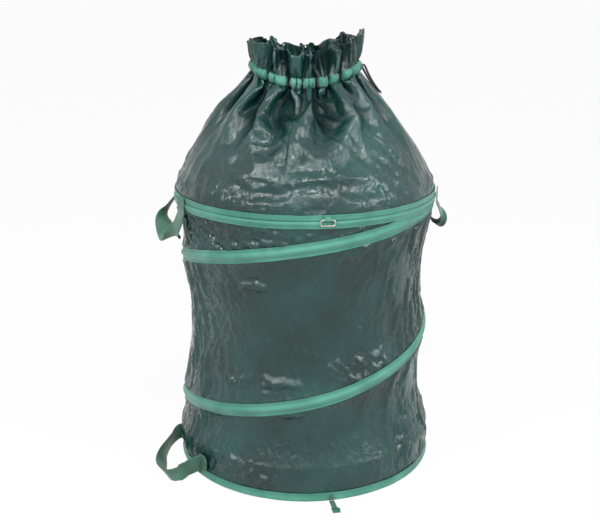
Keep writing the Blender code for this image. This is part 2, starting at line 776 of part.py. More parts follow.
def closing_strap_end():
    """The strap's end, sewn on the outside of the bottom casing."""
    middle = 2.0 * CLEARANCE + WEBBING + CLOSER_END_HEIGHT / 2
    radius = CASING_OUTER + CLEARANCE / 2
    return plate(CLOSER_DEG, radius, middle, CLOSER_WIDTH, CLOSER_END_HEIGHT, CLOSER_END_CORNER, TAPE)


def closing_strap():
    away, side = outward(CLOSER_DEG), along(CLOSER_DEG)
    start = closer_place() - UP * WEBBING / 2
    return strap([(start, side), (start + away * CLOSER_LENGTH, side)], CLOSER_WIDTH, WEBBING)


def closing_hook():
    """A moulded hook on the strap's tip: a plate with a lip turned up and back over the strap."""
    away, side = outward(CLOSER_DEG), along(CLOSER_DEG)
    start = closer_place() + away * (CLOSER_LENGTH + CLEARANCE) - UP * WEBBING
    plate_top, reach = HOOK_PLATE, HOOK_LENGTH
    outline = (
        (0.0, 0.0),
        (reach - HOOK_PLATE / 2, 0.0),
        (reach, HOOK_PLATE / 2),
        (reach, HOOK_LIP - HOOK_PLATE / 2),
        (reach - HOOK_PLATE / 2, HOOK_LIP),
        (reach - HOOK_RETURN, HOOK_LIP),
        (reach - HOOK_RETURN, HOOK_LIP - HOOK_EDGE),
        (reach - HOOK_PLATE, HOOK_LIP - HOOK_ROOT),
        (reach - HOOK_PLATE, plate_top),
        (0.0, plate_top),
    )
    return [
        [start + away * out + UP * up + side * HOOK_WIDTH / 2 * end for out, up in outline] for end in (-1, 1)
    ]


def main():
    for old in list(bpy.data.objects):
        bpy.data.objects.remove(old, do_unlink=True)

    make("base_panel", "cloth", [(base_panel(), False)])
    make("bottom_hoop", "steel", [(hoop_wire(BOTTOM_WIRE_Z), False)])
    make("bottom_hoop_ferrule", "steel", [(hoop_ferrule(BOTTOM_WIRE_Z), True)])
    bottom_leg = BOTTOM_CASING_HEIGHT - BOTTOM_WIRE_Z
    make("bottom_ring_casing", "tape", [(hoop_casing(BOTTOM_WIRE_Z, bottom_leg, 1.0), True)])
    make("side_wall", "cloth", [(side_wall(), True)])
    make("spring_wire", "steel", [(spring_wire(), False)])
    make("spring_casing", "tape", [(spring_casing(), False)])
    for end, turn in (("rear", -BOTTOM_HANDLE_HALF_DEG), ("front", BOTTOM_HANDLE_HALF_DEG)):
        make("handle_bottom_patch_" + end, "webbing", [(bottom_patch(BOTTOM_HANDLE_DEG + turn), False)])
    make("closing_strap_end", "webbing", [(closing_strap_end(), False)])

    top = joint_origin("top_carrier", (0.0, 0.0, TOP_Z))
    make("top_hoop", "steel", [(hoop_wire(TOP_WIRE_Z), False)], top)
    make("top_hoop_ferrule", "steel", [(hoop_ferrule(TOP_WIRE_Z), True)], top)
    top_leg = TOP_WIRE_Z - TOP_CASING_END
    make("top_ring_casing", "tape", [(hoop_casing(TOP_WIRE_Z, top_leg, -1.0), True)], top)
    make("collar_binding", "tape", [(collar_binding(), True)], top)
    make("collar", "cloth", [(collar(), True)], top)
    make("closing_ring_tab", "tape", [(closing_ring_tab(), False)], top)
    for name, degrees in (
        ("handle_left_patch_rear", LEFT_HANDLE_DEG - TOP_HANDLE_HALF_DEG),
        ("handle_left_patch_front", LEFT_HANDLE_DEG + TOP_HANDLE_HALF_DEG),
        ("handle_right_patch_front", RIGHT_HANDLE_DEG - TOP_HANDLE_HALF_DEG),
        ("handle_right_patch_rear", RIGHT_HANDLE_DEG + TOP_HANDLE_HALF_DEG),
    ):
        make(name, "webbing", [(top_patch(degrees), False)], top)

    neck = joint_origin("neck_carrier", (0.0, 0.0, NECK_Z))
    make("neck_channel", "tape", [(neck_channel(), False)], neck)
    make("drawstring", "cord", [(drawstring(), False)], neck)
    make("neck_frill", "cloth", [(frill(), True)], neck)
    loop = drawstring_loop()
    loop.parent = neck
    loop.matrix_parent_inverse = neck.matrix_world.inverted()

    left = (LEFT_HANDLE_DEG, LEFT_HANDLE_OUT, LEFT_HANDLE_DROP, LEFT_HANDLE_ROLL_DEG, LEFT_HANDLE_LEAN_SHARE)
    right = (RIGHT_HANDLE_DEG, RIGHT_HANDLE_OUT, RIGHT_HANDLE_DROP, RIGHT_HANDLE_ROLL_DEG, RIGHT_HANDLE_LEAN_SHARE)
    for name, sizes in (("handle_left", left), ("handle_right", right)):
        pivot = joint_origin(name + "_pivot", top_handle_place(sizes[0]))
        make(name, "webbing", [(top_handle(*sizes), False)], pivot)
    pivot = joint_origin("handle_bottom_pivot", bottom_handle_place())
    make("handle_bottom", "webbing", [(bottom_handle(), False)], pivot)

    pivot = joint_origin("closing_ring_pivot", tab_place())
    make("closing_ring", "steel", [(closing_ring(), True)], pivot)
    pivot = joint_origin("closing_strap_pivot", closer_place())
    make("closing_strap", "webbing", [(closing_strap(), False)], pivot)
    make("closing_hook", "plastic", [(closing_hook(), False)], pivot)

    print(f"least gap between the spring's turns: {least_turn_gap():.4f} m")


if __name__ == "__main__":
    main()
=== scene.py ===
"""The looks of a pop-up leaf bag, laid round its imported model: crinkled cloth, sewn tapes, straps and cord.

Metres, +Z up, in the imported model's own frame. Azimuth 0 is the bag's right side, -90 its front, 180 its left.
"""

import math  # noqa: E402

import bmesh  # noqa: E402
import bpy  # noqa: E402
import numpy as np  # noqa: E402
from bpy.props import FloatProperty, FloatVectorProperty, IntProperty, PointerProperty  # noqa: E402
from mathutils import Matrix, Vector  # noqa: E402


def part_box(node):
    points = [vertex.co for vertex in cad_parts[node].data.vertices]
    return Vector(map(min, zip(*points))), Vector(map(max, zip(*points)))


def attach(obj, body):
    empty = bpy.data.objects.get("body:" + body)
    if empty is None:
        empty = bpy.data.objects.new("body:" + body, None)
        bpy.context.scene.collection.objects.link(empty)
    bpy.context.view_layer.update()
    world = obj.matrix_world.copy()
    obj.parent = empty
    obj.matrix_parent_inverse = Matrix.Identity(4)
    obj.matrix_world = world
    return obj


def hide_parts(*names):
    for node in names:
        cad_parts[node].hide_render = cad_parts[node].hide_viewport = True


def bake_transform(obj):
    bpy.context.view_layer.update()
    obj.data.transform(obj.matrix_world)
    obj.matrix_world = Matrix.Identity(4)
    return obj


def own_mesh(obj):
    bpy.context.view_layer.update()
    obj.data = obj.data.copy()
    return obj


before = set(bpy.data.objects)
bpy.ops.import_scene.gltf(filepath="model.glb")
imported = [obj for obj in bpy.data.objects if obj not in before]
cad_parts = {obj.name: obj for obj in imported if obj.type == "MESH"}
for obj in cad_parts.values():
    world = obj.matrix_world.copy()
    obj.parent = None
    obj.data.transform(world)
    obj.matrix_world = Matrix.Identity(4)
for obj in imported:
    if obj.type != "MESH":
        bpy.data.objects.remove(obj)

bl_info = {
    "name": "Pop-up leaf bag",
    "version": (1, 0, 0),
    "blender": (4, 5, 0),
    "location": "View3D > Sidebar > Leaf bag",
    "description": "Dresses the packed leaf bag in cloth, tape, webbing, wire and cord",
    "category": "Object",
}

# The bag's own sizes, in metres and degrees
UP = np.array((0.0, 0.0, 1.0))
CLEARANCE = 0.0003
CLOTH = 0.0011
TAPE = 0.0009
WEBBING = 0.0016
HOOP_RADIUS = 0.2275
GIRTH = 2 * math.pi * HOOP_RADIUS
HOOP_SPACING = 0.485
WIRE_RADIUS = 0.0016
CHANNEL_RADIUS = 0.0035
CASING_SHOULDER = 0.0040
BOTTOM_CASING_HEIGHT = 0.015
TOP_CASING_HEIGHT = 0.012
BINDING_HEIGHT = 0.010
BOTTOM_Z = BOTTOM_CASING_HEIGHT / 2
TOP_Z = BOTTOM_Z + HOOP_SPACING
BOTTOM_WIRE_Z = CHANNEL_RADIUS + TAPE / 2
TOP_WIRE_Z = TOP_Z - CLEARANCE / 2 - TAPE / 2 - CHANNEL_RADIUS
TOP_CASING_END = TOP_Z - TOP_CASING_HEIGHT
CASING_OUTER = HOOP_RADIUS + CHANNEL_RADIUS + TAPE / 2
WALL_FOOT = BOTTOM_WIRE_Z + CASING_SHOULDER
WALL_HEAD = TOP_WIRE_Z - CASING_SHOULDER
SPRING_START_DEG = -5.0
SPRING_TURNS = 1.875
SPRING_HEIGHT_SHARES = (1.0, 0.897, 0.759, 0.637, 0.507, 0.336, 0.206, 0.095, -0.02)
SPRING_RADIUS = 0.2160
SPRING_TAPE_WIDTH = 0.022
SPRING_EASE_SHARES = (0.11, 0.27, 0.73, 0.84)
WALL_SAG_SHARE = 0.105
MOST_SAG = 0.016
STRAIGHT_WALL_HEIGHT = 0.058
# How far the wall may buckle in and out
WALL_IN, WALL_OUT = 0.009, 0.0045
# From the hoop to the neck: the share of the height and of the way out
COLLAR_SHARES = (
    (0.0, 1.0), (0.10, 0.955), (0.25, 0.845), (0.42, 0.69),
    (0.58, 0.53), (0.73, 0.37), (0.85, 0.185), (1.0, 0.0),
)
# The collar's spare width by the share of its height, how far it may fold in and where the neck's tucks begin
COLLAR_SPARE = ((0, 0.15, 0.30, 0.45, 0.60, 0.75, 0.88, 1.0), (0.0, 0.0, 0.001, 0.008, 0.05, 0.24, 0.60, 0.85))
COLLAR_IN = 0.042
TUCKS_FROM = 0.93
NECK_RISE = 0.2085
NECK_Z = TOP_Z + NECK_RISE
NECK_RADIUS = 0.0930
NECK_SAG = 0.020
NECK_TAPE_WIDTH = 0.015
CORD_RADIUS = 0.0019
PLEAT_DEPTH = 0.0075
PLEATS = 16
NECK_COLUMNS = 64
SLOT_FIRST_COLUMN, SLOT_LAST_COLUMN = 1, 4
FRILL_HEIGHT = 0.056
FRILL_HEIGHT_SHARES = (1.20, 0.98, 0.62, 0.86, 0.96, 1.04, 1.02, 1.06)
FRILL_GIRTH_SHARE = 0.72
FRILL_IN = 0.036
FRILL_LEAST_FOLD = 0.019
# The cord's bight: azimuth, distance from the middle and height over the upper ring
CORD_ROUTE = (
    (7.4, 0.1030, 0.2155), (8.6, 0.1085, 0.2050), (9.6, 0.1175, 0.1890), (11.2, 0.1290, 0.1735),
    (14.0, 0.1370, 0.1660), (16.8, 0.1290, 0.1735), (18.4, 0.1175, 0.1890), (19.4, 0.1085, 0.2050),
    (20.6, 0.1030, 0.2155),
)

STRAP_WIDTH = 0.030
PATCH_HEIGHT = 0.019
PATCH_CORNER = 0.004
HALF_DEG = 20.0
TWIST_SHARES = (0.50, 0.95)
# Azimuth, reach, drop, roll in degrees and lean of the two upper handles
UPPER_HANDLES = {
    "handle_left": (186.5, 0.028, 0.068, 25.0, 0.55),
    "handle_right": (12.0, 0.019, 0.058, 50.0, 0.0),
}
# From a sewn end to the middle: along the side, outward and down, as shares
HANDLE_SHARES = (
    (1.0, 0.0, 0.0), (1.0, 0.03, 0.10), (0.97, 0.34, 0.32),
    (0.80, 0.76, 0.64), (0.42, 0.95, 0.92), (0.0, 1.0, 1.0),
)
BOTTOM_HANDLE_DEG = 201.0
BOTTOM_HANDLE_HALF_DEG = 17.0
BOTTOM_PATCH_CENTRE = 0.0275
BOTTOM_PATCH_CORNER = 0.011
BOTTOM_PATCH_RADIUS = HOOP_RADIUS + CLOTH / 2 + 2 * CLEARANCE + TAPE
BOTTOM_HANDLE_REACH = 0.0660
BOTTOM_HANDLE_LEAN_DEG = 38.0
GROUND_GAP = 0.0014
# From the front end to the rear: along the side, outward, downward and leaning, as shares
BOTTOM_HANDLE_SHARES = (
    (1.0, 0.0095, 0.0, 0.0), (1.0, 0.10, 0.0, 0.0), (0.98, 0.24, 0.3, 0.0), (0.99, 0.43, 0.7, 0.1),
    (1.08, 0.70, 0.95, 0.3), (1.00, 0.92, 1.0, 0.7), (0.68, 1.0, 1.0, 0.9), (0.30, 0.95, 1.0, 1.0),
    (-0.10, 0.80, 1.0, 0.6), (-0.50, 0.58, 1.0, 0.0), (-0.82, 0.34, 0.6, -0.2), (-0.96, 0.13, 0.0, 0.0),
    (-1.0, 0.013, 0.0, 0.0),
)
RING_DEG = -81.0
RING_WIDTH = 0.025
RING_HEIGHT = 0.0120
RING_WIRE_RADIUS = 0.0011
RING_CORNER = 0.0035
TAB_WIDTH = 0.010
TAB_LEG = 0.0070
TAB_BAR_SHARES = ((-1.0, 0.0), (-0.55, -1.15), (0.55, -1.15), (1.0, 0.0), (0.72, 0.88))
CLOSER_DEG = -78.5
CLOSER_WIDTH = 0.0095
CLOSER_LENGTH = 0.024
CLOSER_END_HEIGHT = 0.009
HOOK_WIDTH = 0.0125
HOOK_LENGTH = 0.0145
HOOK_PLATE = 0.0022
HOOK_LIP = 0.0060
HOOK_RETURN = 0.0055
HOOK_EDGE = 0.0013
STITCH_INSET = 0.0024
THREAD_LIFT = 0.0002
# The shortest and longest stitch, as shares of a stitch
STITCH_LEAST, STITCH_MOST = 0.88, 1.06

# The photo's camera: place, turn in radians and lens in millimetres
CAMERA_PLACE = (0.0, -1.786, 0.9065)
CAMERA_TURN = (1.2706, 0.0, 0.0048)
CAMERA_LENS = 61.85
# Lamps: name, place, width, height and watts
LAMPS = (
    ("softbox_left", (-1.9, -1.7, 2.3), 0.26, 0.6, 52.0),
    ("softbox_right", (2.2, -1.3, 1.5), 0.22, 0.8, 38.0),
    ("softbox_top", (0.3, -1.4, 2.8), 0.36, 0.20, 46.0),
    ("front_card", (-0.5, -3.0, 2.3), 0.5, 0.3, 26.0),
)
LAMP_AIM = Vector((0.0, 0.0, 0.35))
ROOM_LIGHT, ROOM_SEEN = 0.07, 1.0
FLOOR_HALF = 60.0
FLOOR_DROP = 0.0005


def linear(code):
    """A colour from its sRGB hex value, as the linear values that Blender uses."""
    parts = [int(code[i : i + 2], 16) / 255 for i in (0, 2, 4)]
    return tuple(c / 12.92 if c <= 0.04045 else ((c + 0.055) / 1.055) ** 2.4 for c in parts)


# Numbers and curves


def smooth(share):
    share = np.clip(share, 0.0, 1.0)
    return share * share * (3.0 - 2.0 * share)


def curve_value(values, place):
    """A smooth value through evenly spaced ones, where place counts in their steps. Takes arrays of places."""
    values, place = np.asarray(values, float), np.asarray(place, float)
    padded = np.concatenate(([2 * values[0] - values[1]], values, [2 * values[-1] - values[-2]]))
    step = np.clip(np.floor(place).astype(int), 0, len(values) - 2)
    share = place - step
    before, here, there, after = (padded[step + offset] for offset in range(4))
    slope_here, slope_there = (there - before) / 2, (after - here) / 2
    square, cube = share**2, share**3
    return (
        here * (2 * cube - 3 * square + 1)
        + slope_here * (cube - 2 * square + share)
        + there * (3 * square - 2 * cube)
        + slope_there * (cube - square)
    )


def curve_through(points, steps):
    points = np.asarray(points, float)
    places = np.arange((len(points) - 1) * steps + 1) / steps
    return np.column_stack([curve_value(axis, places) for axis in points.T])


def polar(radius, degrees, height):
    radius, degrees, height = np.broadcast_arrays(radius, degrees, height)
    angle = np.radians(degrees)
    return np.stack((radius * np.cos(angle), radius * np.sin(angle), height), axis=-1).astype(float)


def outward(degrees):
    return polar(1.0, degrees, 0.0)


def along(degrees):
    return polar(1.0, np.asarray(degrees) + 90.0, 0.0)


def round_degrees(columns):
    """The azimuths of that many columns round the bag."""
    return 360.0 * np.arange(columns) / columns


def grid_of(degrees, levels):
    """The azimuth and the level of each point in a grid (round, up)."""
    return np.broadcast_arrays(degrees[:, None], levels[None, :])


def from_axis(places):
    return np.hypot(places[..., 0], places[..., 1])


def drawn_in(places, ratio):
    """Moves points towards the bag's axis, or out from it, by a ratio each."""
    places[..., :2] *= ratio[..., None]


def steps_round(places):
    """The distances between neighbours round a closed grid."""
    return np.linalg.norm(np.diff(places, axis=0, append=places[:1]), axis=-1)


def steps_up(places):
    return np.linalg.norm(np.diff(places, axis=1), axis=-1)


def cut_uv(degrees, up):
    """A sheet's uv in metres, round at the hoop's girth and up."""
    return np.stack(np.broadcast_arrays(np.radians(degrees) * HOOP_RADIUS, up), axis=-1)


def random_at(cells, seed):
    """A fixed random value from -1 to 1 for each whole-numbered cell in space."""
    hashed = (cells * np.array((73856093, 19349663, 83492791))).sum(-1) ^ (seed * 2654435761)
    hashed = ((hashed ^ (hashed >> 13)) * 1274126177) & 0xFFFFFFFF
    return ((hashed ^ (hashed >> 16)) & 0xFFFF) / 32767.5 - 1.0


def lumps(points, size, seed):
    """Smooth random heights from -1 to 1, with lumps of that size."""
    place = points / size + 0.37 * seed
    cell = np.floor(place).astype(np.int64)
    share = smooth(place - cell)
    total = 0.0
    for corner in range(8):
        step = np.array((corner & 1, corner >> 1 & 1, corner >> 2))
        weight = np.prod(np.where(step, share, 1.0 - share), axis=-1)
        total = total + weight * random_at(cell + step, seed)
    return total


def plates(points, size, seed):
    """Crumpled film: 0 on the creases between flat plates of about that size, rising to 1 inside them."""
    place = points / size + 0.61 * seed
    cell = np.floor(place).astype(np.int64)
    nearest = np.full(len(points), 9.0)
    second = np.full(len(points), 9.0)
    for dx in (-1, 0, 1):
        for dy in (-1, 0, 1):
            for dz in (-1, 0, 1):
                here = cell + (dx, dy, dz)
                middle = here + 0.5 + 0.45 * np.stack([random_at(here, seed + k) for k in (1, 2, 3)], axis=-1)
                away = np.linalg.norm(place - middle, axis=-1)
                second = np.minimum(second, np.maximum(nearest, away))
                nearest = np.minimum(nearest, away)
    return np.clip((second - nearest) / 0.45, 0.0, 1.0)


def creases(round_m, height, lines):
    """Heights of sharp creases. A line: round, height, lean in degrees, length, width, rise, bow, far width."""
    total = np.zeros(len(round_m))
    for at, level, lean, length, width, rise, bow, far in lines:
        du = (round_m - at + GIRTH / 2) % GIRTH - GIRTH / 2
        dv = height - level
        near = (np.abs(du) < length) & (np.abs(dv) < length)
        c, s = math.cos(math.radians(lean)), math.sin(math.radians(lean))
        a = du[near] * c + dv[near] * s
        b = -du[near] * s + dv[near] * c + bow * a * a / length
        ends = np.clip(1.0 - (2.0 * a / length) ** 2, 0.0, 1.0) ** 1.5
        total[near] += rise * np.exp(-np.abs(b) / np.where(b > 0, far, width)) * ends
    return total


def crease_between(start, end, width, rise, bow, far):
    """A crease from one (azimuth, height) to another, in the terms that creases() takes."""
    one = np.array((math.radians(start[0] % 360) * HOOP_RADIUS, start[1]))
    other = np.array((math.radians(end[0] % 360) * HOOP_RADIUS, end[1]))
    run, middle = other - one, (one + other) / 2
    length = float(np.hypot(*run))
    lean = math.degrees(math.atan2(run[1], run[0]))
    return float(middle[0]), float(middle[1]), lean, length * 1.15, width, rise, bow, far


# The bag's own surfaces


def spring_turn(degrees):
    return (SPRING_START_DEG - degrees) / 360.0


def spring_height(turn):
    return BOTTOM_Z + HOOP_SPACING * curve_value(SPRING_HEIGHT_SHARES, 4.0 * np.asarray(turn))


def spring_wall_radius(turn):
    """The wall under the spring: the hoop's radius at both ends, drawn in between them."""
    first, in_full, out_from, last = (SPRING_TURNS * share for share in SPRING_EASE_SHARES)
    drawn = smooth((turn - first) / (in_full - first)) * smooth((last - turn) / (last - out_from))
    return HOOP_RADIUS - (HOOP_RADIUS - SPRING_RADIUS) * drawn


def wall_radius(degrees, height):
    """The wall's middle surface at one azimuth: straight at the hoops and the spring, drawn in between."""
    stops = [(0.0, STRAIGHT_WALL_HEIGHT, HOOP_RADIUS)]
    bands = []
    straight = TOP_CASING_END - 2 * TAPE
    for lap in range(2):
        turn = spring_turn(degrees) % 1.0 + lap
        if turn <= SPRING_TURNS:
            middle = float(spring_height(turn))
            high = min(middle + SPRING_TAPE_WIDTH / 2, straight)
            bands.append((middle - SPRING_TAPE_WIDTH / 2, high, float(spring_wall_radius(turn))))
    stops += sorted(band for band in bands if band[1] > STRAIGHT_WALL_HEIGHT)
    stops.append((straight, TOP_Z, HOOP_RADIUS))
    radius = np.full(len(height), HOOP_RADIUS)
    for (_, start, here), (end, top, there) in zip(stops, stops[1:]):
        between = (height > start) & (height < end)
        share = (height[between] - start) / max(end - start, CLEARANCE)
        sag = min(WALL_SAG_SHARE * (end - start), MOST_SAG)
        radius[between] = here + (there - here) * smooth(share) - sag * 4 * share * (1 - share)
        radius[(height >= end) & (height <= top)] = there
    return radius


def near_spring(degrees, height):
    """How far the nearest turn of the spring's tape is, up or down."""
    nearest = np.full(np.shape(height), 1.0)
    for lap in range(2):
        turn = spring_turn(degrees) % 1.0 + lap
        found = np.where(turn <= SPRING_TURNS, np.abs(height - spring_height(turn)), 1.0)
        nearest = np.minimum(nearest, found)
    return nearest


def neck_height(degrees):
    """The neck's tape dips at the front."""
    front = np.maximum(-np.sin(np.radians(degrees)), 0.0)
    return NECK_Z - NECK_SAG * front**2


def pleat(degrees):
    """0 on the crests of the neck's even pleats and 1 in them."""
    return (1.0 - np.cos(np.radians(degrees * PLEATS))) / 2


def neck_radius(degrees):
    """The neck's cloth where the tape is sewn to it, folded into pleats."""
    return NECK_RADIUS - PLEAT_DEPTH * pleat(degrees)


# Meshes


def new_object(name, mesh, material=None):
    made = bpy.data.objects.new(name, mesh)
    bpy.context.scene.collection.objects.link(made)
    if material is not None:
        mesh.materials.append(material)
    return made


def grid_mesh(name, points, uv, closed_round, fold_shade_share=None):
    """A mesh from a grid of points (round, up, 3), joined round where asked, with its uv in metres and, where
    given, the share of painted shade in its folds.
    """
    columns, rows = points.shape[:2]
    mesh = bpy.data.meshes.new(name)
    index = np.arange(columns * rows).reshape(columns, rows)
    here = np.arange(columns if closed_round else columns - 1)
    there = (here + 1) % columns
    faces = np.stack((index[here, :-1], index[there, :-1], index[there, 1:], index[here, 1:]), axis=-1)
    mesh.from_pydata(points.reshape(-1, 3).tolist(), [], faces.reshape(-1, 4).tolist())
    layer = mesh.uv_layers.new(name="cloth_uv")
    seam = uv[:1] + np.array((uv[-1, 0, 0] * 2 - uv[-2, 0, 0] - uv[0, 0, 0], 0.0))
    wide = np.concatenate((uv, seam), axis=0)
    corners = (wide[here, :-1], wide[here + 1, :-1], wide[here + 1, 1:], wide[here, 1:])
    layer.data.foreach_set("uv", np.stack(corners, axis=2).astype(np.float32).ravel())
    # Painted shade: how deep in a fold each point is, stored for the finishes to darken it.
    if fold_shade_share is not None:
        fold_shade_layer = mesh.attributes.new("fold_shade_mask", "FLOAT", "POINT")
        fold_shade_layer.data.foreach_set("value", np.clip(fold_shade_share, 0.0, 1.0).astype(np.float32).ravel())
    mesh.shade_smooth()
    mesh.update()
    return mesh


def line_object(name, points, **attributes):
    """A chain of edges that a sweep follows, or its outline, with its attributes."""
    mesh = bpy.data.meshes.new(name)
    edges = [(i, i + 1) for i in range(len(points) - 1)]
    mesh.from_pydata(np.asarray(points, float).tolist(), edges, [])
    for key, values in attributes.items():
        values = np.asarray(values, np.float32)
        vector = values.ndim == 2
        layer = mesh.attributes.new(key, "FLOAT_VECTOR" if vector else "FLOAT", "POINT")
        layer.data.foreach_set("vector" if vector else "value", values.ravel())
    return new_object(name, mesh)


def feed(tree, node, inputs):
    """Gives a node's inputs their values. A value that is another node's output socket is linked."""
    for key, value in dict(inputs).items():
        if isinstance(value, bpy.types.NodeSocket):
            tree.links.new(value, node.inputs[key])
        else:
            node.inputs[key].default_value = value
    return node


def add_node(tree, kind, inputs=(), **settings):
    """Adds a node with its settings and inputs."""
    node = tree.nodes.new(kind)
    for key, value in settings.items():
        setattr(node, key, value)
    return feed(tree, node, inputs)


def geometry_tree(name, sockets):
    tree = bpy.data.node_groups.new(name, "GeometryNodeTree")
    tree.interface.new_socket("Geometry", in_out="INPUT", socket_type="NodeSocketGeometry")
    for label, kind in sockets:
        tree.interface.new_socket(label, in_out="INPUT", socket_type=kind)
    tree.interface.new_socket("Geometry", in_out="OUTPUT", socket_type="NodeSocketGeometry")
    return tree, tree.nodes.new("NodeGroupInput"), tree.nodes.new("NodeGroupOutput")


def end_tree(tree, geometry, finish_socket, result):
    """Ends a geometry tree: real geometry with the given finish."""
    whole = add_node(tree, "GeometryNodeRealizeInstances", {"Geometry": geometry})
    even = add_node(tree, "GeometryNodeSetShadeSmooth", {"Geometry": whole.outputs[0]})
    skin = add_node(tree, "GeometryNodeSetMaterial", {"Geometry": even.outputs[0], "Material": finish_socket})
    tree.links.new(skin.outputs[0], result.inputs[0])
    return tree


def sweep_tree():
    """A profile carried along a path. The path's points say which way the profile faces and how large it is."""
    tree, given, result = geometry_tree(
        "Sewn tape along a path", [("Profile", "NodeSocketObject"), ("Finish", "NodeSocketMaterial")])
    path = add_node(tree, "GeometryNodeMeshToCurve", {"Mesh": given.outputs["Geometry"]})
    facing = add_node(tree, "GeometryNodeInputNamedAttribute", {"Name": "facing"}, data_type="FLOAT_VECTOR")
    size = add_node(tree, "GeometryNodeInputNamedAttribute", {"Name": "size"}, data_type="FLOAT")
    turned = add_node(tree, "GeometryNodeSetCurveNormal",
                      {"Curve": path.outputs["Curve"], "Normal": facing.outputs["Attribute"]}, mode="FREE")
    shape = add_node(tree, "GeometryNodeObjectInfo", {"Object": given.outputs["Profile"]})
    outline = add_node(tree, "GeometryNodeMeshToCurve", {"Mesh": shape.outputs["Geometry"]})
    carried = []
    for source in (turned.outputs["Curve"], outline.outputs["Curve"]):
        keep = tree.nodes.new("GeometryNodeCaptureAttribute")
        keep.capture_items.new("FLOAT", "Length")
        length = tree.nodes.new("GeometryNodeSplineParameter")
        feed(tree, keep, {0: source, 1: length.outputs["Length"]})
        carried.append(keep)
    skin = add_node(tree, "GeometryNodeCurveToMesh", {
        "Curve": carried[0].outputs[0], "Profile Curve": carried[1].outputs[0],
        "Scale": size.outputs["Attribute"]})
    place = add_node(tree, "ShaderNodeCombineXYZ", {0: carried[0].outputs[1], 1: carried[1].outputs[1]})
    laid = add_node(tree, "GeometryNodeStoreNamedAttribute",
                    {"Geometry": skin.outputs["Mesh"], "Name": "cloth_uv", "Value": place.outputs[0]},
                    data_type="FLOAT2", domain="CORNER")
    return end_tree(tree, laid.outputs[0], given.outputs["Finish"], result)


def stitch_tree():
    """Lockstitches along a path: short grains of thread, one after the other, slightly uneven."""
    numbers = [(label, "NodeSocketFloat") for label in ("Pitch", "Stitch", "Thread")]
    tree, given, result = geometry_tree(
        "Row of stitches", [*numbers, ("Seed", "NodeSocketInt"), ("Finish", "NodeSocketMaterial")])
    path = add_node(tree, "GeometryNodeMeshToCurve", {"Mesh": given.outputs["Geometry"]})
    points = add_node(tree, "GeometryNodeCurveToPoints",
                      {"Curve": path.outputs["Curve"], "Length": given.outputs["Pitch"]}, mode="LENGTH")
    turn = add_node(tree, "FunctionNodeAlignRotationToVector", {"Vector": points.outputs["Tangent"]}, axis="X")
    grain = add_node(tree, "GeometryNodeMeshUVSphere", {"Segments": 6, "Rings": 4, "Radius": 0.5})
    uneven = add_node(tree, "FunctionNodeRandomValue",
                      {"Seed": given.outputs["Seed"], 2: STITCH_LEAST, 3: STITCH_MOST}, data_type="FLOAT")
    long = math_node(tree, "MULTIPLY", given.outputs["Stitch"], uneven.outputs[1])
    thread = given.outputs["Thread"]
    size = add_node(tree, "ShaderNodeCombineXYZ", {0: long, 1: thread, 2: thread})
    rows = add_node(tree, "GeometryNodeInstanceOnPoints", {
        "Points": points.outputs["Points"], "Instance": grain.outputs["Mesh"],
        "Rotation": turn.outputs["Rotation"], "Scale": size.outputs[0]})
    return end_tree(tree, rows.outputs[0], given.outputs["Finish"], result)


def grown(name, source, tree, **inputs):
    """Runs a geometry tree on an object and gives its result as a plain mesh object of that name."""
    modifier = source.modifiers.new("Growing", "NODES")
    modifier.node_group = tree
    sockets = {s.name: s.identifier for s in tree.interface.items_tree if s.in_out == "INPUT"}
    for label, value in inputs.items():
        modifier[sockets[label]] = value
    bpy.context.view_layer.update()
    evaluated = source.evaluated_get(bpy.context.evaluated_depsgraph_get())
    mesh = bpy.data.meshes.new_from_object(evaluated)
    mesh.name = name
    bpy.data.objects.remove(source)
    return new_object(name, mesh)


def tree_of(maker):
    """The one copy of a geometry tree."""
    label = "made by " + maker.__name__
    found = [group for group in bpy.data.node_groups if group.get("maker") == label]
    if found:
        return found[0]
    tree = maker()
    tree["maker"] = label
    return tree


def sweep(name, path, facing, outline, material, size=None, closed=False, shake=None, sharp_deg=50.0):
    """A tape, strap or wire: an outline of (outward, across) pairs carried along a path and joined up."""
    path, facing = np.asarray(path, float), np.asarray(facing, float)
    size = np.ones(len(path)) if size is None else size
    if closed:
        path, facing, size = (np.concatenate((values, values[:1])) for values in (path, facing, size))
    shape = [(out, across, 0.0) for out, across in (*outline, outline[0])]
    profile = line_object(name + "_outline", shape)
    source = line_object(name + "_path", path, facing=facing, size=size)
    made = grown(name, source, tree_of(sweep_tree), Profile=profile, Finish=material)
    bpy.data.objects.remove(profile)
    shape = bmesh.new()
    shape.from_mesh(made.data)
    bmesh.ops.remove_doubles(shape, verts=shape.verts, dist=CLEARANCE / 30)
    if not closed:
        bmesh.ops.holes_fill(shape, edges=[edge for edge in shape.edges if edge.is_boundary], sides=0)
    bmesh.ops.recalc_face_normals(shape, faces=shape.faces)
    shape.to_mesh(made.data)
    shape.free()
    for key in ("facing", "size"):
        layer = made.data.attributes.get(key)
        if layer is not None:
            made.data.attributes.remove(layer)
    if shake is not None:
        move(made, shake)
    made.data.shade_smooth()
    made.data.set_sharp_from_angle(angle=math.radians(sharp_deg))
    return made


def points_of(mesh):
    places = np.empty(len(mesh.vertices) * 3, np.float64)
    mesh.vertices.foreach_get("co", places)
    return places.reshape(-1, 3)


def move(made, change):
    """Moves a mesh's points by what a function of them gives."""
    places = points_of(made.data)
    made.data.vertices.foreach_set("co", (places + change(places)).astype(np.float32).ravel())
    made.data.update()


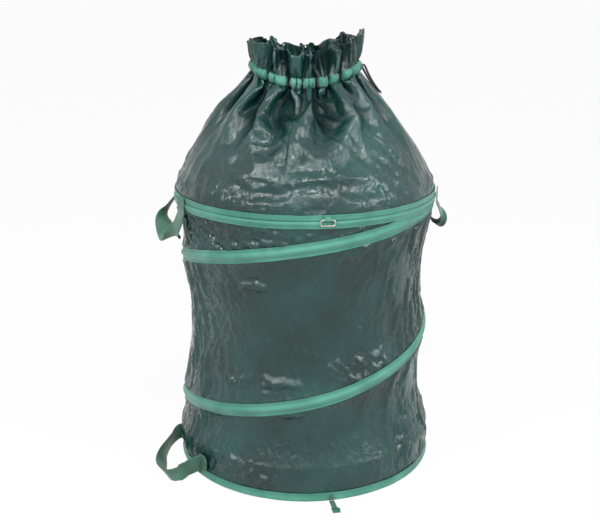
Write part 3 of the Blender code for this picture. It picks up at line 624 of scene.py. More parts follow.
def thick_line(half, thickness):
    """The closed outline of an even strip about an open line of (out, across) pairs."""
    path = np.array(half, float)
    runs = np.diff(path, axis=0)
    runs /= np.linalg.norm(runs, axis=1)[:, None]
    turned = np.column_stack((runs[:, 1], -runs[:, 0]))
    before, after = np.vstack((turned[:1], turned)), np.vstack((turned, turned[-1:]))
    middle = before + after
    middle /= np.linalg.norm(middle, axis=1)[:, None]
    offset = middle / np.sum(middle * before, axis=1)[:, None] * thickness / 2
    return np.vstack((path + offset, (path - offset)[::-1]))


def rounded(points):
    """An open line with its corners softened, kept in its end points."""
    points = np.array(points, float)
    for _ in range(2):
        cut = [points[0]]
        for here, there in zip(points, points[1:]):
            cut += [here + (there - here) * 0.25, here + (there - here) * 0.75]
        points = np.array(cut + [points[-1]])
    return points


def oval(wide, high, sides):
    angles = 2 * np.pi * np.arange(sides) / sides
    return np.column_stack((wide * np.cos(angles), high * np.sin(angles)))


def strap_outline(width, thickness, steps=4):
    """A woven strap's section, (through, across), with its two edges rounded."""
    edge = width / 2 - thickness / 2
    angles = np.linspace(-math.pi / 2, math.pi / 2, steps + 1)
    rim = np.column_stack((thickness / 2 * np.sin(angles), edge + thickness / 2 * np.cos(angles)))
    across = np.linspace(edge, -edge, 9)[1:-1]
    face = np.column_stack((np.full(len(across), thickness / 2), across))
    return np.concatenate((rim, face, -rim, -face))


def soft_corners(outline, reach):
    """A closed outline with every corner cut to a small curve."""
    points = np.array(outline, float)
    result = []
    for before, here, after in zip(np.roll(points, 1, axis=0), points, np.roll(points, -1, axis=0)):
        arms = []
        for other in (before, after):
            arm = other - here
            arms.append(here + arm * min(0.45, reach / np.linalg.norm(arm)))
        result += [arms[0], 0.25 * arms[0] + 0.5 * here + 0.25 * arms[1], arms[1]]
    return np.array(result)


def round_box(width, height, corner, steps=5):
    """Points round a rectangle with round corners, from its right side round over its top."""
    angles = np.linspace(0, math.pi / 2, steps + 1)
    points = []
    for x, y, start in ((1, 1, 0.0), (-1, 1, 0.5), (-1, -1, 1.0), (1, -1, 1.5)):
        turn = angles + math.pi * start
        points.append(np.column_stack((x * (width / 2 - corner) + corner * np.cos(turn),
                                       y * (height / 2 - corner) + corner * np.sin(turn))))
    return np.concatenate(points)


def sewn_plate(name, centre_deg, radius, middle_z, outline, thickness, material):
    """A flat piece of webbing that faces out at an azimuth, its rim rounded over."""
    away, side = outward(centre_deg), along(centre_deg)
    soft = 0.25 * thickness
    rings = []
    for shrink, depth in (
        (soft, 0.0), (0.0, soft), (0.0, thickness - soft), (soft, thickness), (0.004, thickness),
    ):
        scale = 1.0 - shrink / np.abs(outline).max(axis=0)
        rings.append([away * (radius + depth) + side * x + UP * (middle_z + z) for x, z in outline * scale])
    places = np.stack(rings, axis=1)
    uv = np.stack(np.broadcast_arrays(outline[:, :1], outline[:, 1:]), axis=-1)
    uv = np.broadcast_to(uv, (len(outline), 1, 2)) * np.ones((1, places.shape[1], 1))
    mesh = grid_mesh(name, places, uv, True)
    shape = bmesh.new()
    shape.from_mesh(mesh)
    bmesh.ops.holes_fill(shape, edges=[edge for edge in shape.edges if edge.is_boundary], sides=0)
    bmesh.ops.recalc_face_normals(shape, faces=shape.faces)
    layer = shape.loops.layers.uv["cloth_uv"]
    for face in shape.faces:
        for loop in face.loops:
            loop[layer].uv = (loop.vert.co.dot(Vector(side)), loop.vert.co.z)
    shape.to_mesh(mesh)
    shape.free()
    mesh.shade_smooth()
    mesh.set_sharp_from_angle(angle=math.radians(40))
    return new_object(name, mesh, material)


def stitches(name, chains, seed=1, pitch=None):
    """Rows of thread along chains of points; a chain is (points, closed)."""
    sizes = bpy.context.scene.leaf_bag_sizes
    mesh = bpy.data.meshes.new(name + "_route")
    points, edges = [], []
    for chain, closed in chains:
        start = len(points)
        points += np.asarray(chain, float).tolist()
        edges += [(i, i + 1) for i in range(start, len(points) - 1)]
        edges += [(len(points) - 1, start)] if closed else []
    mesh.from_pydata(points, edges, [])
    source = new_object(name + "_route", mesh)
    return grown(name, source, tree_of(stitch_tree), Pitch=pitch or sizes.stitch_pitch, Stitch=sizes.stitch,
                 Thread=sizes.thread, Seed=seed, Finish=finish("polyester_thread"))


# Finishes


def shader(name):
    material = bpy.data.materials.new(name)
    material.use_nodes = True
    tree = material.node_tree
    return material, tree, tree.nodes["Principled BSDF"]


def math_node(tree, operation, *values):
    return add_node(tree, "ShaderNodeMath", dict(enumerate(values)), operation=operation).outputs[0]


def mixed(tree, share, *colours):
    """One colour over another by a share. A colour is a socket or its three values."""
    first, second = (c if isinstance(c, bpy.types.NodeSocket) else (*c, 1.0) for c in colours)
    return add_node(tree, "ShaderNodeMix", {"Factor": share, 6: first, 7: second}, data_type="RGBA").outputs[2]


def ramp(tree, value, low, high, to_low=0.0, to_high=1.0):
    inputs = {"Value": value, "From Min": low, "From Max": high, "To Min": to_low, "To Max": to_high}
    return add_node(tree, "ShaderNodeMapRange", inputs).outputs["Result"]


def noise(tree, scale, detail, roughness=0.5):
    where = add_node(tree, "ShaderNodeTexCoord").outputs["Object"]
    inputs = {"Vector": where, "Scale": scale, "Detail": detail, "Roughness": roughness}
    return add_node(tree, "ShaderNodeTexNoise", inputs).outputs["Fac"]


def bump(tree, height, strength, distance, under=None):
    """A relief, laid over another one where that is given."""
    inputs = {"Height": height, "Strength": strength, "Distance": distance}
    if under is not None:
        inputs["Normal"] = under
    return add_node(tree, "ShaderNodeBump", inputs).outputs[0]


def fold_shade_mask(tree):
    """How deep in a fold a place is, from 0 to 1: the share of painted shade that the fold gets."""
    return add_node(tree, "ShaderNodeAttribute", attribute_name="fold_shade_mask").outputs["Fac"]


def plain_weave(tree, pitch, tall=1.0):
    """Flat yarns over and under each other, at a pitch in metres: 0 in the gaps and 1 on top of a yarn."""
    uv = add_node(tree, "ShaderNodeUVMap", uv_map="cloth_uv").outputs[0]
    parts = add_node(tree, "ShaderNodeSeparateXYZ", {0: uv})
    yarns, cells = [], []
    for axis, spacing in ((0, pitch), (1, pitch * tall)):
        count = math_node(tree, "MULTIPLY", parts.outputs[axis], 1.0 / spacing)
        wave = math_node(tree, "SINE", math_node(tree, "MULTIPLY", count, math.pi))
        yarns.append(math_node(tree, "ABSOLUTE", wave))
        cells.append(math_node(tree, "FLOOR", count))
    odd = math_node(tree, "ABSOLUTE", math_node(tree, "MODULO", math_node(tree, "ADD", *cells), 2.0))
    over = math_node(tree, "MULTIPLY", yarns[0], odd)
    under = math_node(tree, "MULTIPLY", yarns[1], math_node(tree, "SUBTRACT", 1.0, odd))
    return math_node(tree, "ADD", over, under)


def coated_cloth(name, colours, weave_mm):
    """Woven polyethylene strips with a film pressed on them: a flat weave under a glossy, crinkled skin."""
    material, tree, surface = shader(name)
    weave = plain_weave(tree, weave_mm / 1000)
    patches = noise(tree, 9.0, 3.0)
    scuffs = noise(tree, 70.0, 6.0, 0.7)
    grain = noise(tree, 300.0, 2.0)
    valleys = math_node(tree, "ABSOLUTE", math_node(tree, "SUBTRACT", noise(tree, 34.0, 4.0, 0.6), 0.5))
    fold_shade_share = fold_shade_mask(tree)
    body = mixed(tree, ramp(tree, patches, 0.35, 0.68), colours.cloth_dark, colours.cloth)
    body = mixed(tree, ramp(tree, weave, 0.15, 0.95, 0.30, 0.0), body, colours.cloth_dark)
    body = mixed(tree, ramp(tree, scuffs, 0.55, 0.80, 0.0, 0.20), body, colours.cloth_scuffed)
    # Painted shade: deep in the folds the cloth is darkened towards a near-black colour, where shade falls.
    body = mixed(tree, ramp(tree, fold_shade_share, 0.10, 0.80, 0.0, 0.92), body, colours.fold_shade)
    relief = bump(tree, grain, 1.0, 0.00055, bump(tree, weave, 0.5, 0.0002))
    relief = bump(tree, scuffs, 1.0, 0.0008, bump(tree, valleys, 1.0, 0.0030, relief))
    feed(tree, surface, {
        "Base Color": body,
        "Roughness": ramp(tree, scuffs, 0.3, 0.7, 0.06, 0.15),
        "IOR": 1.51,
        # Painted shade: deep in the folds the cloth's reflections are turned down.
        "Specular IOR Level": ramp(tree, fold_shade_share, 0.10, 0.80, 0.50, 0.06),
        "Normal": relief,
    })
    return material


def ribbed_tape(name, light, dark, rib_mm, roughness, fold_shade_tint):
    """Woven polyester edging tape: fine ribs across it, a soft sheen, and painted shade that darkens its folds.
    """
    material, tree, surface = shader(name)
    weave = plain_weave(tree, rib_mm / 1000, 2.0)
    patches = noise(tree, 22.0, 4.0)
    fold_shade_share = fold_shade_mask(tree)
    body = mixed(tree, ramp(tree, patches, 0.32, 0.70), dark, light)
    body = mixed(tree, ramp(tree, weave, 0.0, 0.8, 0.35, 0.0), body, dark)
    # Painted shade: the tape is darkened towards a near-black colour in its folds.
    body = mixed(tree, ramp(tree, fold_shade_share, 0.15, 0.75, 0.0, 0.95), body, fold_shade_tint)
    feed(tree, surface, {
        "Base Color": body,
        "Roughness": roughness,
        # Painted shade: the tape reflects less in its folds.
        "Specular IOR Level": ramp(tree, fold_shade_share, 0.15, 0.75, 0.35, 0.05),
        "Sheen Weight": 0.25,
        "Sheen Roughness": 0.45,
        "Normal": bump(tree, patches, 0.3, 0.004, bump(tree, weave, 0.45, 0.0003)),
    })
    return material


def drawn_wire(name, colour, roughness):
    """Zinc-plated spring wire: a dull bright metal with fine lines from drawing and a few darker spots."""
    material, tree, surface = shader(name)
    spots = noise(tree, 400.0, 5.0)
    dull = tuple(0.55 * c for c in colour)
    feed(tree, surface, {
        "Base Color": mixed(tree, ramp(tree, spots, 0.35, 0.75), colour, dull),
        "Metallic": 1.0,
        "Roughness": ramp(tree, spots, 0.3, 0.7, roughness, roughness + 0.18),
    })
    return material


def braided_cord(name, colour):
    """Black braided polyester cord: small slanting strands, each painted lighter as a highlight where it would
    catch a little light.
    """
    material, tree, surface = shader(name)
    where = add_node(tree, "ShaderNodeTexCoord").outputs["Object"]
    inputs = {"Vector": where, "Scale": 180.0, "Distortion": 3.0, "Detail": 2.0}
    strands = add_node(tree, "ShaderNodeTexWave", inputs, bands_direction="DIAGONAL").outputs["Fac"]
    # Painted highlight: the strands' bands are coloured lighter.
    strand_highlight = tuple(min(1.0, 4.0 * c + 0.01) for c in colour)
    feed(tree, surface, {
        "Base Color": mixed(tree, strands, colour, strand_highlight),
        "Roughness": 0.62,
        "Normal": bump(tree, strands, 0.5, 0.0005),
    })
    return material


def moulded_plastic(name, colour):
    """Injection-moulded polypropylene: even colour, a satin skin and faint flow marks."""
    material, tree, surface = shader(name)
    marks = noise(tree, 260.0, 4.0)
    paler = tuple(min(1.0, 1.5 * c) for c in colour)
    feed(tree, surface, {
        "Base Color": mixed(tree, ramp(tree, marks, 0.3, 0.8, 0.0, 0.5), colour, paler),
        "Roughness": ramp(tree, marks, 0.3, 0.7, 0.32, 0.45),
        "Normal": bump(tree, marks, 0.15, 0.0004),
    })
    return material


def finish(kind):
    """The one copy of each finish, made from the panel's colours when it is first asked for."""
    if kind in bpy.data.materials:
        return bpy.data.materials[kind]
    look = bpy.context.scene.leaf_bag_colours
    weave_mm = bpy.context.scene.leaf_bag_sizes.weave_mm
    makers = {
        "coated_woven_polyethylene": lambda: coated_cloth(kind, look, weave_mm),
        "polyester_edging_tape": lambda: ribbed_tape(kind, look.tape, look.tape_dark, 1.1, 0.50, look.fold_shade),
        "polypropylene_webbing": lambda: ribbed_tape(
            kind, look.webbing, look.webbing_dark, 1.8, 0.55, look.fold_shade),
        "polyester_thread": lambda: ribbed_tape(kind, look.thread, look.tape_dark, 0.4, 0.6, look.fold_shade),
        "zinc_plated_wire": lambda: drawn_wire(kind, look.wire, 0.30),
        "nickel_plated_wire": lambda: drawn_wire(kind, look.ring, 0.22),
        "braided_polyester_cord": lambda: braided_cord(kind, look.cord),
        "moulded_polypropylene": lambda: moulded_plastic(kind, look.plastic),
    }
    return makers[kind]()


def colour_property(label, about, code):
    return FloatVectorProperty(
        name=label, description=about, default=linear(code), subtype="COLOR", min=0, max=1)


def count_property(label, about, value, least):
    return IntProperty(name=label, description=about, default=value, min=least)


def length_property(label, about, value):
    return FloatProperty(name=label, description=about, default=value, min=0, unit="LENGTH")


class LeafBagColours(bpy.types.PropertyGroup):
    """The bag's colours, as they look in plain light"""

    cloth: colour_property("Cloth", "The coated cloth in plain light", "144541")
    cloth_dark: colour_property("Cloth, dark", "The coated cloth between its strips and in its folds", "0B2C29")
    cloth_scuffed: colour_property("Cloth, scuffed", "Where the coated film is rubbed pale", "467370")
    # Painted shade: a near-black colour painted over cloth and tape deep in the folds, where shade falls.
    fold_shade: colour_property("Folds", "Cloth and tape deep in the neck's folds", "051816")
    tape: colour_property("Tape", "The edging tape", "509380")
    tape_dark: colour_property("Tape, dark", "The edging tape in its folds", "347563")
    webbing: colour_property("Webbing", "The handles' webbing", "4F7B69")
    webbing_dark: colour_property("Webbing, dark", "The webbing between its yarns", "284F40")
    thread: colour_property("Thread", "The sewing thread", "3E8F78")
    wire: colour_property("Hoop wire", "The hoops' and spring's wire", "B8BABA")
    ring: colour_property("Ring wire", "The closing ring's wire", "C9BEB8")
    cord: colour_property("Cord", "The drawstring", "16181A")
    plastic: colour_property("Plastic", "The closing hook", "24634B")


class LeafBagSizes(bpy.types.PropertyGroup):
    """The sizes and grids of the bag's cloth and thread"""

    weave_mm: FloatProperty(name="Weave", description="Width of the cloth's strips, mm", default=2.5, min=0.5)
    wall_columns: count_property("Wall columns", "The wall's faces round the bag", 440, 40)
    wall_rows: count_property("Wall rows", "The wall's faces from hoop to hoop", 150, 20)
    collar_columns: count_property("Collar columns", "Its first faces round; they double three times", 96, 32)
    collar_rows: count_property("Collar rows", "Its first faces from hoop to neck; they double too", 15, 5)
    stitch: length_property("Stitch", "One stitch's length", 0.0036)
    stitch_pitch: length_property("Stitch pitch", "From one stitch to the next", 0.0046)
    thread: length_property("Thread", "The thread's thickness", 0.0007)
    crinkle: FloatProperty(
        name="Crinkle", description="How deep the cloth's creases are", default=1.0, min=0, max=3)


# Pieces


def settle(made, body, replaced=()):
    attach(made, body)
    if replaced:
        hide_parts(*replaced)
    return made


def thickened(made, thickness, offset):
    solid = made.modifiers.new("Thickness", "SOLIDIFY")
    solid.thickness, solid.offset = thickness, offset


def squash_wall(made):
    """Gives a piece of the spring or the wall its own copy of its mesh."""
    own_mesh(made)
    return made


# Where the wall's film is crushed and glints: azimuths from and to, heights from and to, and how many creases
CRUSHED = (
    (-119, -108, 0.369, 0.379, 9), (-128, -117, 0.191, 0.208, 7), (-112, -92, 0.198, 0.213, 14),
    (-79, -54, 0.193, 0.245, 14), (-55, -47, 0.209, 0.257, 6), (-124, -111, 0.008, 0.053, 10),
    (-110, -100, 0.010, 0.042, 9), (-143, -116, 0.437, 0.466, 12), (-116, -92, 0.460, 0.478, 9),
    (-105, -92, 0.147, 0.158, 4), (-44, -20, -0.023, 0.173, 8), (-143, -136, 0.135, 0.153, 4),
)
# Upright creases down both sides and the back: azimuth, spread in degrees and how many
UPRIGHT = ((-165, 22, 80), (-24, 24, 110), (30, 30, 50), (90, 60, 90), (150, 25, 50))
# Groups of the wall's creases: how many, azimuth, height, lean, length, width, rise, bow and far width.
# A pair is drawn evenly from that range, and a triple from a bell curve with that middle and spread
WALL_CREASES = (
    (46, (-165, -100), (0.430, 0.470), (-36, -22), (0.06, 0.13), (0.0016, 0.0030), (0.0030, 0.0065), 0.0,
     (0.003, 0.006)),
    (12, (-58, -34), (0.36, 0.42), (84, 8, "bell"), (0.07, 0.14), (0.0020, 0.0035), (0.0035, 0.0065),
     (-0.1, 0.1), 0.010),
    (70, (-112, -40), (0.43, 0.475), (-60, 60), (0.02, 0.05), (0.0016, 0.0032), (0.0016, 0.0036),
     (-0.4, 0.4), None),
    *((count, (middle, spread * 0.5, "bell"), (0.03, 0.45), (90, 15, "bell"), (0.05, 0.17), (0.0022, 0.0060),
       (0.0022, 0.0060), (-0.25, 0.25), (0.0030, 0.0100)) for middle, spread, count in UPRIGHT),
    (120, (-180, 180), (0.02, 0.47), (0, 180), (0.02, 0.06), (0.0014, 0.0030), (0.0005, 0.0014),
     (-0.3, 0.3), None),
)
BY_SPRING = ((90, 30, "bell"), (0.02, 0.045), (0.0016, 0.0030), (0.0010, 0.0026), 0.0, None)
BY_CRUSH = ((-35, 45), (0.010, 0.028), (0.0011, 0.0024), (0.0014, 0.0030), (-0.4, 0.4), (0.002, 0.005))
# Dents over the lower ring at the left: azimuth and height
DENTS = ((-128, 0.035), (-121, 0.045), (-116, 0.03), (-133, 0.05), (-110, 0.028))


def wall_lines():
    """The wall's creases: fans under the upper hoop, upright ones down both sides, short ones by the tapes."""
    draw = np.random.default_rng(41)
    lines = []

    def drawn(value):
        if not isinstance(value, tuple):
            return value
        return draw.normal(*value[:2]) if len(value) == 3 else draw.uniform(*value)

    def add(*values):
        degrees, height, lean, length, width, rise, bow, far = (drawn(value) for value in values)
        at = math.radians(degrees % 360) * HOOP_RADIUS
        lines.append((at, height, lean, length, width, rise, bow, far or width))

    for count, *values in WALL_CREASES:
        for _ in range(count):
            add(*values)
    for _ in range(90):
        turn = draw.uniform(0.05, SPRING_TURNS - 0.05)
        side = draw.choice((-1, 1))
        height = float(spring_height(turn)) + side * draw.uniform(0.014, 0.028)
        add(SPRING_START_DEG - 360 * turn, height, *BY_SPRING)
    for first, last, low, high, count in CRUSHED:
        for _ in range(3 * count):
            add((first, last), (low, high), *BY_CRUSH)
    for degrees, height in DENTS:
        add(degrees, height, (118, 8, "bell"), 0.06, 0.003, 0.0035, 0.0, None)
    return lines


def make_wall():
    """The wall: banded and drawn in by formula, then creased and buckled to its cut's own size."""
    sizes = bpy.context.scene.leaf_bag_sizes
    degrees = round_degrees(sizes.wall_columns)
    heights = np.linspace(WALL_FOOT, WALL_HEAD, sizes.wall_rows + 1)
    radius = np.array([wall_radius(a, heights) for a in degrees])
    deg, hgt = grid_of(degrees, heights)
    places = polar(radius, deg, hgt).reshape(-1, 3)
    flat_deg, flat_hgt = deg.ravel(), hgt.ravel()
    held = smooth((near_spring(flat_deg, flat_hgt) - SPRING_TAPE_WIDTH * 0.42) / 0.010)
    held = held * smooth((flat_hgt - BOTTOM_CASING_HEIGHT) / 0.008)
    held = held * smooth((TOP_CASING_END - flat_hgt) / 0.008)
    plain = np.exp(-(((flat_deg + 90 + 180) % 360 - 180) / 42.0) ** 4)
    rough = 1.0 - 0.75 * plain
    # In turn: broad lumps, upright lumps, plates of crumpled film, small plates and the drawn creases
    depth = 0.0026 * lumps(places, 0.085, 3) * (0.5 + 0.5 * rough)
    depth += 0.0018 * lumps(places * (1, 1, 0.45), 0.030, 5) * rough
    depth += 0.0016 * (plates(places * (1, 1, 0.55), 0.030, 7) - 0.6) * rough
    depth += 0.0005 * (plates(places, 0.012, 9) - 0.6) * (0.35 + 0.65 * rough)
    depth += creases(np.radians(flat_deg) * HOOP_RADIUS, flat_hgt, wall_lines())
    depth = np.clip(depth, -0.008, 0.008) * held * sizes.crinkle
    places = polar(radius.ravel() + depth, flat_deg, flat_hgt).reshape(*deg.shape, 3)
    across, upward = steps_round(places), steps_up(places)
    patchy = smooth(0.35 + 1.2 * lumps(places.reshape(-1, 3), 0.075, 21)).reshape(deg.shape)
    under_hoop = smooth((hgt - 0.415) / 0.03)
    rough = rough.reshape(deg.shape)
    spare = 0.007 + 0.045 * patchy * rough + 0.020 * under_hoop * rough
    places[:, 1:-1] += np.random.default_rng(4).uniform(-0.0004, 0.0004, places[:, 1:-1].shape)

    def envelope(places):
        """Keeps the wall between its deepest dent and its furthest bulge."""
        now = from_axis(places)
        drawn_in(places, np.clip(now, radius - WALL_IN, radius + WALL_OUT) / now)

    places = buckled(places, across * (1 + spare), upward * (1 + 0.5 * spare[:, 1:]),
                     held.reshape(deg.shape) < 0.02, envelope, passes=80, stiff=0.45)
    mesh = grid_mesh("side_wall_cloth", places, cut_uv(deg, hgt), True)
    wall = new_object("side_wall_cloth", mesh, finish("coated_woven_polyethylene"))
    settle(wall, "base", ["side_wall"])
    squash_wall(wall)


def make_base():
    """The round floor: a disc of the same cloth, a little baggy, tucked under the bottom casing's edge."""
    _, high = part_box("base_panel")
    radius = high.x
    rings, columns = 40, 200
    deg, share = grid_of(round_degrees(columns), np.linspace(0.0, 1.0, rings + 1)[1:])
    flat = polar(radius * share, deg, 0.0).reshape(-1, 3)
    flat[:, 2] = 0.0004 + 0.0005 * (lumps(flat, 0.07, 12) + 1) * (1 - share.ravel() ** 6)
    mesh = bpy.data.meshes.new("base_cloth")
    index = np.arange(columns * rings).reshape(columns, rings)
    nxt = np.roll(index, -1, axis=0)
    faces = np.stack((index[:, :-1], index[:, 1:], nxt[:, 1:], nxt[:, :-1]), axis=-1).reshape(-1, 4).tolist()
    centre = columns * rings
    faces += [(centre, int(index[c, 0]), int(nxt[c, 0])) for c in range(columns)]
    mesh.from_pydata([*flat.tolist(), (0.0, 0.0, 0.0008)], [], faces)
    layer = mesh.uv_layers.new(name="cloth_uv")
    for loop in mesh.loops:
        layer.data[loop.index].uv = mesh.vertices[loop.vertex_index].co[:2]
    mesh.shade_smooth()
    base = new_object("base_cloth", mesh, finish("coated_woven_polyethylene"))
    thickened(base, 0.0003, 1.0)
    settle(base, "base", ["base_panel"])


def hoop_path(radius, height, columns=240):
    """Points round a hoop, and which way they face."""
    degrees = round_degrees(columns)
    return polar(radius, degrees, height), outward(degrees)


def tape_shake(seed, tall, out):
    """Small waves in a sewn tape: it puckers up and down a little more than in and out."""

    def change(places):
        angle = np.arctan2(places[:, 1], places[:, 0])
        radial = np.stack((np.cos(angle), np.sin(angle), 0 * angle), axis=-1)
        wave = lumps(places, 0.018, seed) * 0.6 + lumps(places, 0.007, seed + 1) * 0.4
        rise = lumps(places * (1, 1, 0.2), 0.03, seed + 2)
        return radial * (out * wave)[:, None] + UP * (tall * rise)[:, None]

    return change


def make_ring_tapes():
    """The folded tapes round both hoops and round the collar's lower edge."""
    grip = CLOTH / 2 + CLEARANCE + TAPE / 2
    tape = finish("polyester_edging_tape")
    for side, wire_z, leg, sign, body in (
        ("bottom", BOTTOM_WIRE_Z, BOTTOM_CASING_HEIGHT - BOTTOM_WIRE_Z, 1, "base"),
        ("top", TOP_WIRE_Z, TOP_WIRE_Z - TOP_CASING_END, -1, "top"),
    ):
        channel = [(CHANNEL_RADIUS, 0.0), (0.45 * CHANNEL_RADIUS, -CHANNEL_RADIUS)]
        half = [(grip, leg), (grip, CASING_SHOULDER), *channel]
        line = rounded(half + [(-out, up) for out, up in reversed(half)])
        outline = [(out, -sign * up) for out, up in thick_line(line, TAPE)]
        made = sweep(side + "_ring_tape", *hoop_path(HOOP_RADIUS, wire_z), outline, tape, closed=True,
                     shake=tape_shake(21 + sign, 0.0004, 0.00035))
        clamp_floor(made)
        settle(made, body, [side + "_ring_casing"])
    bottom = TOP_Z + CLEARANCE / 2 + TAPE / 2
    leg = TOP_Z + BINDING_HEIGHT - bottom
    outline = thick_line(rounded([(grip, leg), (grip, 0.0), (-grip, 0.0), (-grip, leg)]), TAPE)
    made = sweep("collar_binding_tape", *hoop_path(HOOP_RADIUS, bottom), [(out, -up) for out, up in outline],
                 tape, closed=True, shake=tape_shake(31, 0.0006, 0.0004))
    settle(made, "top", ["collar_binding"])


def clamp_floor(made):
    """Keeps a piece that rests on the ground out of it."""
    move(made, lambda places: UP * np.maximum(0.0, -places[:, 2])[:, None])


def spring_route(spring_out):
    """The spring's tape, narrowed where it runs in under a casing: places, facings, sizes and its course."""
    degrees = np.arange(SPRING_START_DEG, SPRING_START_DEG - 360 * SPRING_TURNS, -1.5)
    turn = spring_turn(degrees)
    middle = spring_height(turn)
    low = np.maximum(middle - SPRING_TAPE_WIDTH / 2, BOTTOM_CASING_HEIGHT + CLEARANCE)
    high = np.minimum(middle + SPRING_TAPE_WIDTH / 2, TOP_CASING_END - CLEARANCE)
    kept = high - low > 0.004
    degrees, turn, low, high = degrees[kept], turn[kept], low[kept], high[kept]
    radius = spring_wall_radius(turn) + CLOTH / 2
    share = (high - low) / SPRING_TAPE_WIDTH
    places = polar(radius + spring_out, degrees, (low + high) / 2)
    return places, outward(degrees), share, degrees, radius, middle[kept]


def make_spring():
    """The coiled wire and the tape sewn down over it."""
    path, facing, share, degrees, radius, middle = spring_route(0.0)
    lay = CLEARANCE + TAPE / 2
    top = WIRE_RADIUS + CLEARANCE
    rise = lay + 2.0 * WIRE_RADIUS + CLEARANCE
    half = [(lay, SPRING_TAPE_WIDTH / 2), (lay, top + 2.2 * WIRE_RADIUS), (rise, top), (rise, 0.0)]
    outline = thick_line(rounded(half + [(out, -across) for out, across in reversed(half[:-1])]), TAPE)
    made = sweep("spring_tape", path, facing, outline, finish("polyester_edging_tape"), size=share,
                 shake=tape_shake(51, 0.0005, 0.0004))
    settle(made, "base", ["spring_casing"])
    squash_wall(made)
    full = share > 0.985
    wire_path = polar(radius[full] + CLEARANCE + WIRE_RADIUS, degrees[full], middle[full])
    wire = sweep("spring_wire_coil", wire_path, facing[full], oval(WIRE_RADIUS * 0.9, WIRE_RADIUS * 0.9, 10),
                 finish("zinc_plated_wire"))
    settle(wire, "base", ["spring_wire"])
    squash_wall(wire)


def ring_rows():
    """The rows of stitches round the bag: near the edges of both casings and of the collar's binding."""
    face = HOOP_RADIUS + CLOTH / 2 + CLEARANCE + TAPE + THREAD_LIFT
    for name, body, heights, seed in (
        ("bottom_ring_stitches", "base", (BOTTOM_CASING_HEIGHT - STITCH_INSET,), 22),
        ("top_ring_stitches", "top", (TOP_CASING_END + STITCH_INSET, TOP_Z + BINDING_HEIGHT - 0.0022), 20),
    ):
        chains = [(hoop_path(face, height, 480)[0], True) for height in heights]
        settle(stitches(name, chains, seed), body)


def spring_rows():
    """Two rows of stitches along the spring's tape."""
    path, _, share, *_ = spring_route(CLEARANCE + TAPE + THREAD_LIFT)
    inset = share * SPRING_TAPE_WIDTH / 2 - STITCH_INSET
    chains = [(path + UP * (side * inset)[:, None], False) for side in (1, -1)]
    made = stitches("spring_tape_stitches", chains, 23)
    move(made, tape_shake(51, 0.0005, 0.0004))
    settle(made, "base")
    squash_wall(made)


def sewn_box(centre_deg, radius, middle_z, width, height):
    """The chains of a box of stitches with a cross in it."""
    away, side = outward(centre_deg), along(centre_deg)

    def at(x, z):
        return away * radius + side * x + UP * (middle_z + z)

    x, z = width / 2 - 0.0028, height / 2 - 0.0028
    corners = [at(x, z), at(-x, z), at(-x, -z), at(x, -z)]
    return [(corners, True), ((corners[0], corners[2]), False), ((corners[1], corners[3]), False)]


def make_handle_ends():
    """The handles' sewn ends, each with its box of stitches."""
    chains = {"top": [], "base": []}
    upper = TOP_Z + BINDING_HEIGHT - PATCH_HEIGHT / 2
    ends = []
    for name, (centre, *_), rear in zip(UPPER_HANDLES, UPPER_HANDLES.values(), (-HALF_DEG, HALF_DEG)):
        ends += [(name, end, "top", centre + turn, CASING_OUTER + CLEARANCE, upper, PATCH_HEIGHT, PATCH_CORNER,
                  (STRAP_WIDTH, PATCH_HEIGHT)) for end, turn in (("rear", rear), ("front", -rear))]
    ends += [("handle_bottom", end, "base", BOTTOM_HANDLE_DEG + turn, BOTTOM_PATCH_RADIUS, BOTTOM_PATCH_CENTRE,
              STRAP_WIDTH, BOTTOM_PATCH_CORNER, (0.025, 0.025))
             for end, turn in (("rear", -BOTTOM_HANDLE_HALF_DEG), ("front", BOTTOM_HANDLE_HALF_DEG))]
    for name, end, body, degrees, radius, middle, height, corner, box in ends:
        node = name + "_patch_" + end
        outline = round_box(STRAP_WIDTH, height, corner)
        made = sewn_plate(node + "_webbing", degrees, radius, middle, outline, WEBBING,
                          finish("polypropylene_webbing"))
        settle(made, body, [node])
        chains[body] += sewn_box(degrees, radius + WEBBING + 0.0001, middle, *box)
    for body, rows in chains.items():
        settle(stitches(body + "_handle_stitches", rows, 24, 0.0040), body)


def webbing_strap(name, middles, across, width, wobble, seed):
    """A woven strap through stations, its width along the given directions."""
    middles = np.array(middles)
    runs = np.gradient(middles, axis=0)
    for end in (0, -1):
        runs[end] -= across[end] * np.dot(runs[end], across[end])
    runs /= np.linalg.norm(runs, axis=1)[:, None]
    across = across - runs * (runs * across).sum(axis=1)[:, None]
    facing = np.cross(runs, across)
    ends = (middles[0].copy(), middles[-1].copy())

    def waves(places):
        near = np.minimum(*(np.linalg.norm(places - end, axis=1) for end in ends))
        free = smooth((near - 0.016) / 0.02)[:, None]
        shift = np.stack([lumps(places, 0.022, seed + k) for k in range(3)], axis=-1)
        return wobble * shift * free

    return sweep(name, middles, facing, strap_outline(width, WEBBING), finish("polypropylene_webbing"),
                 shake=waves, sharp_deg=60)


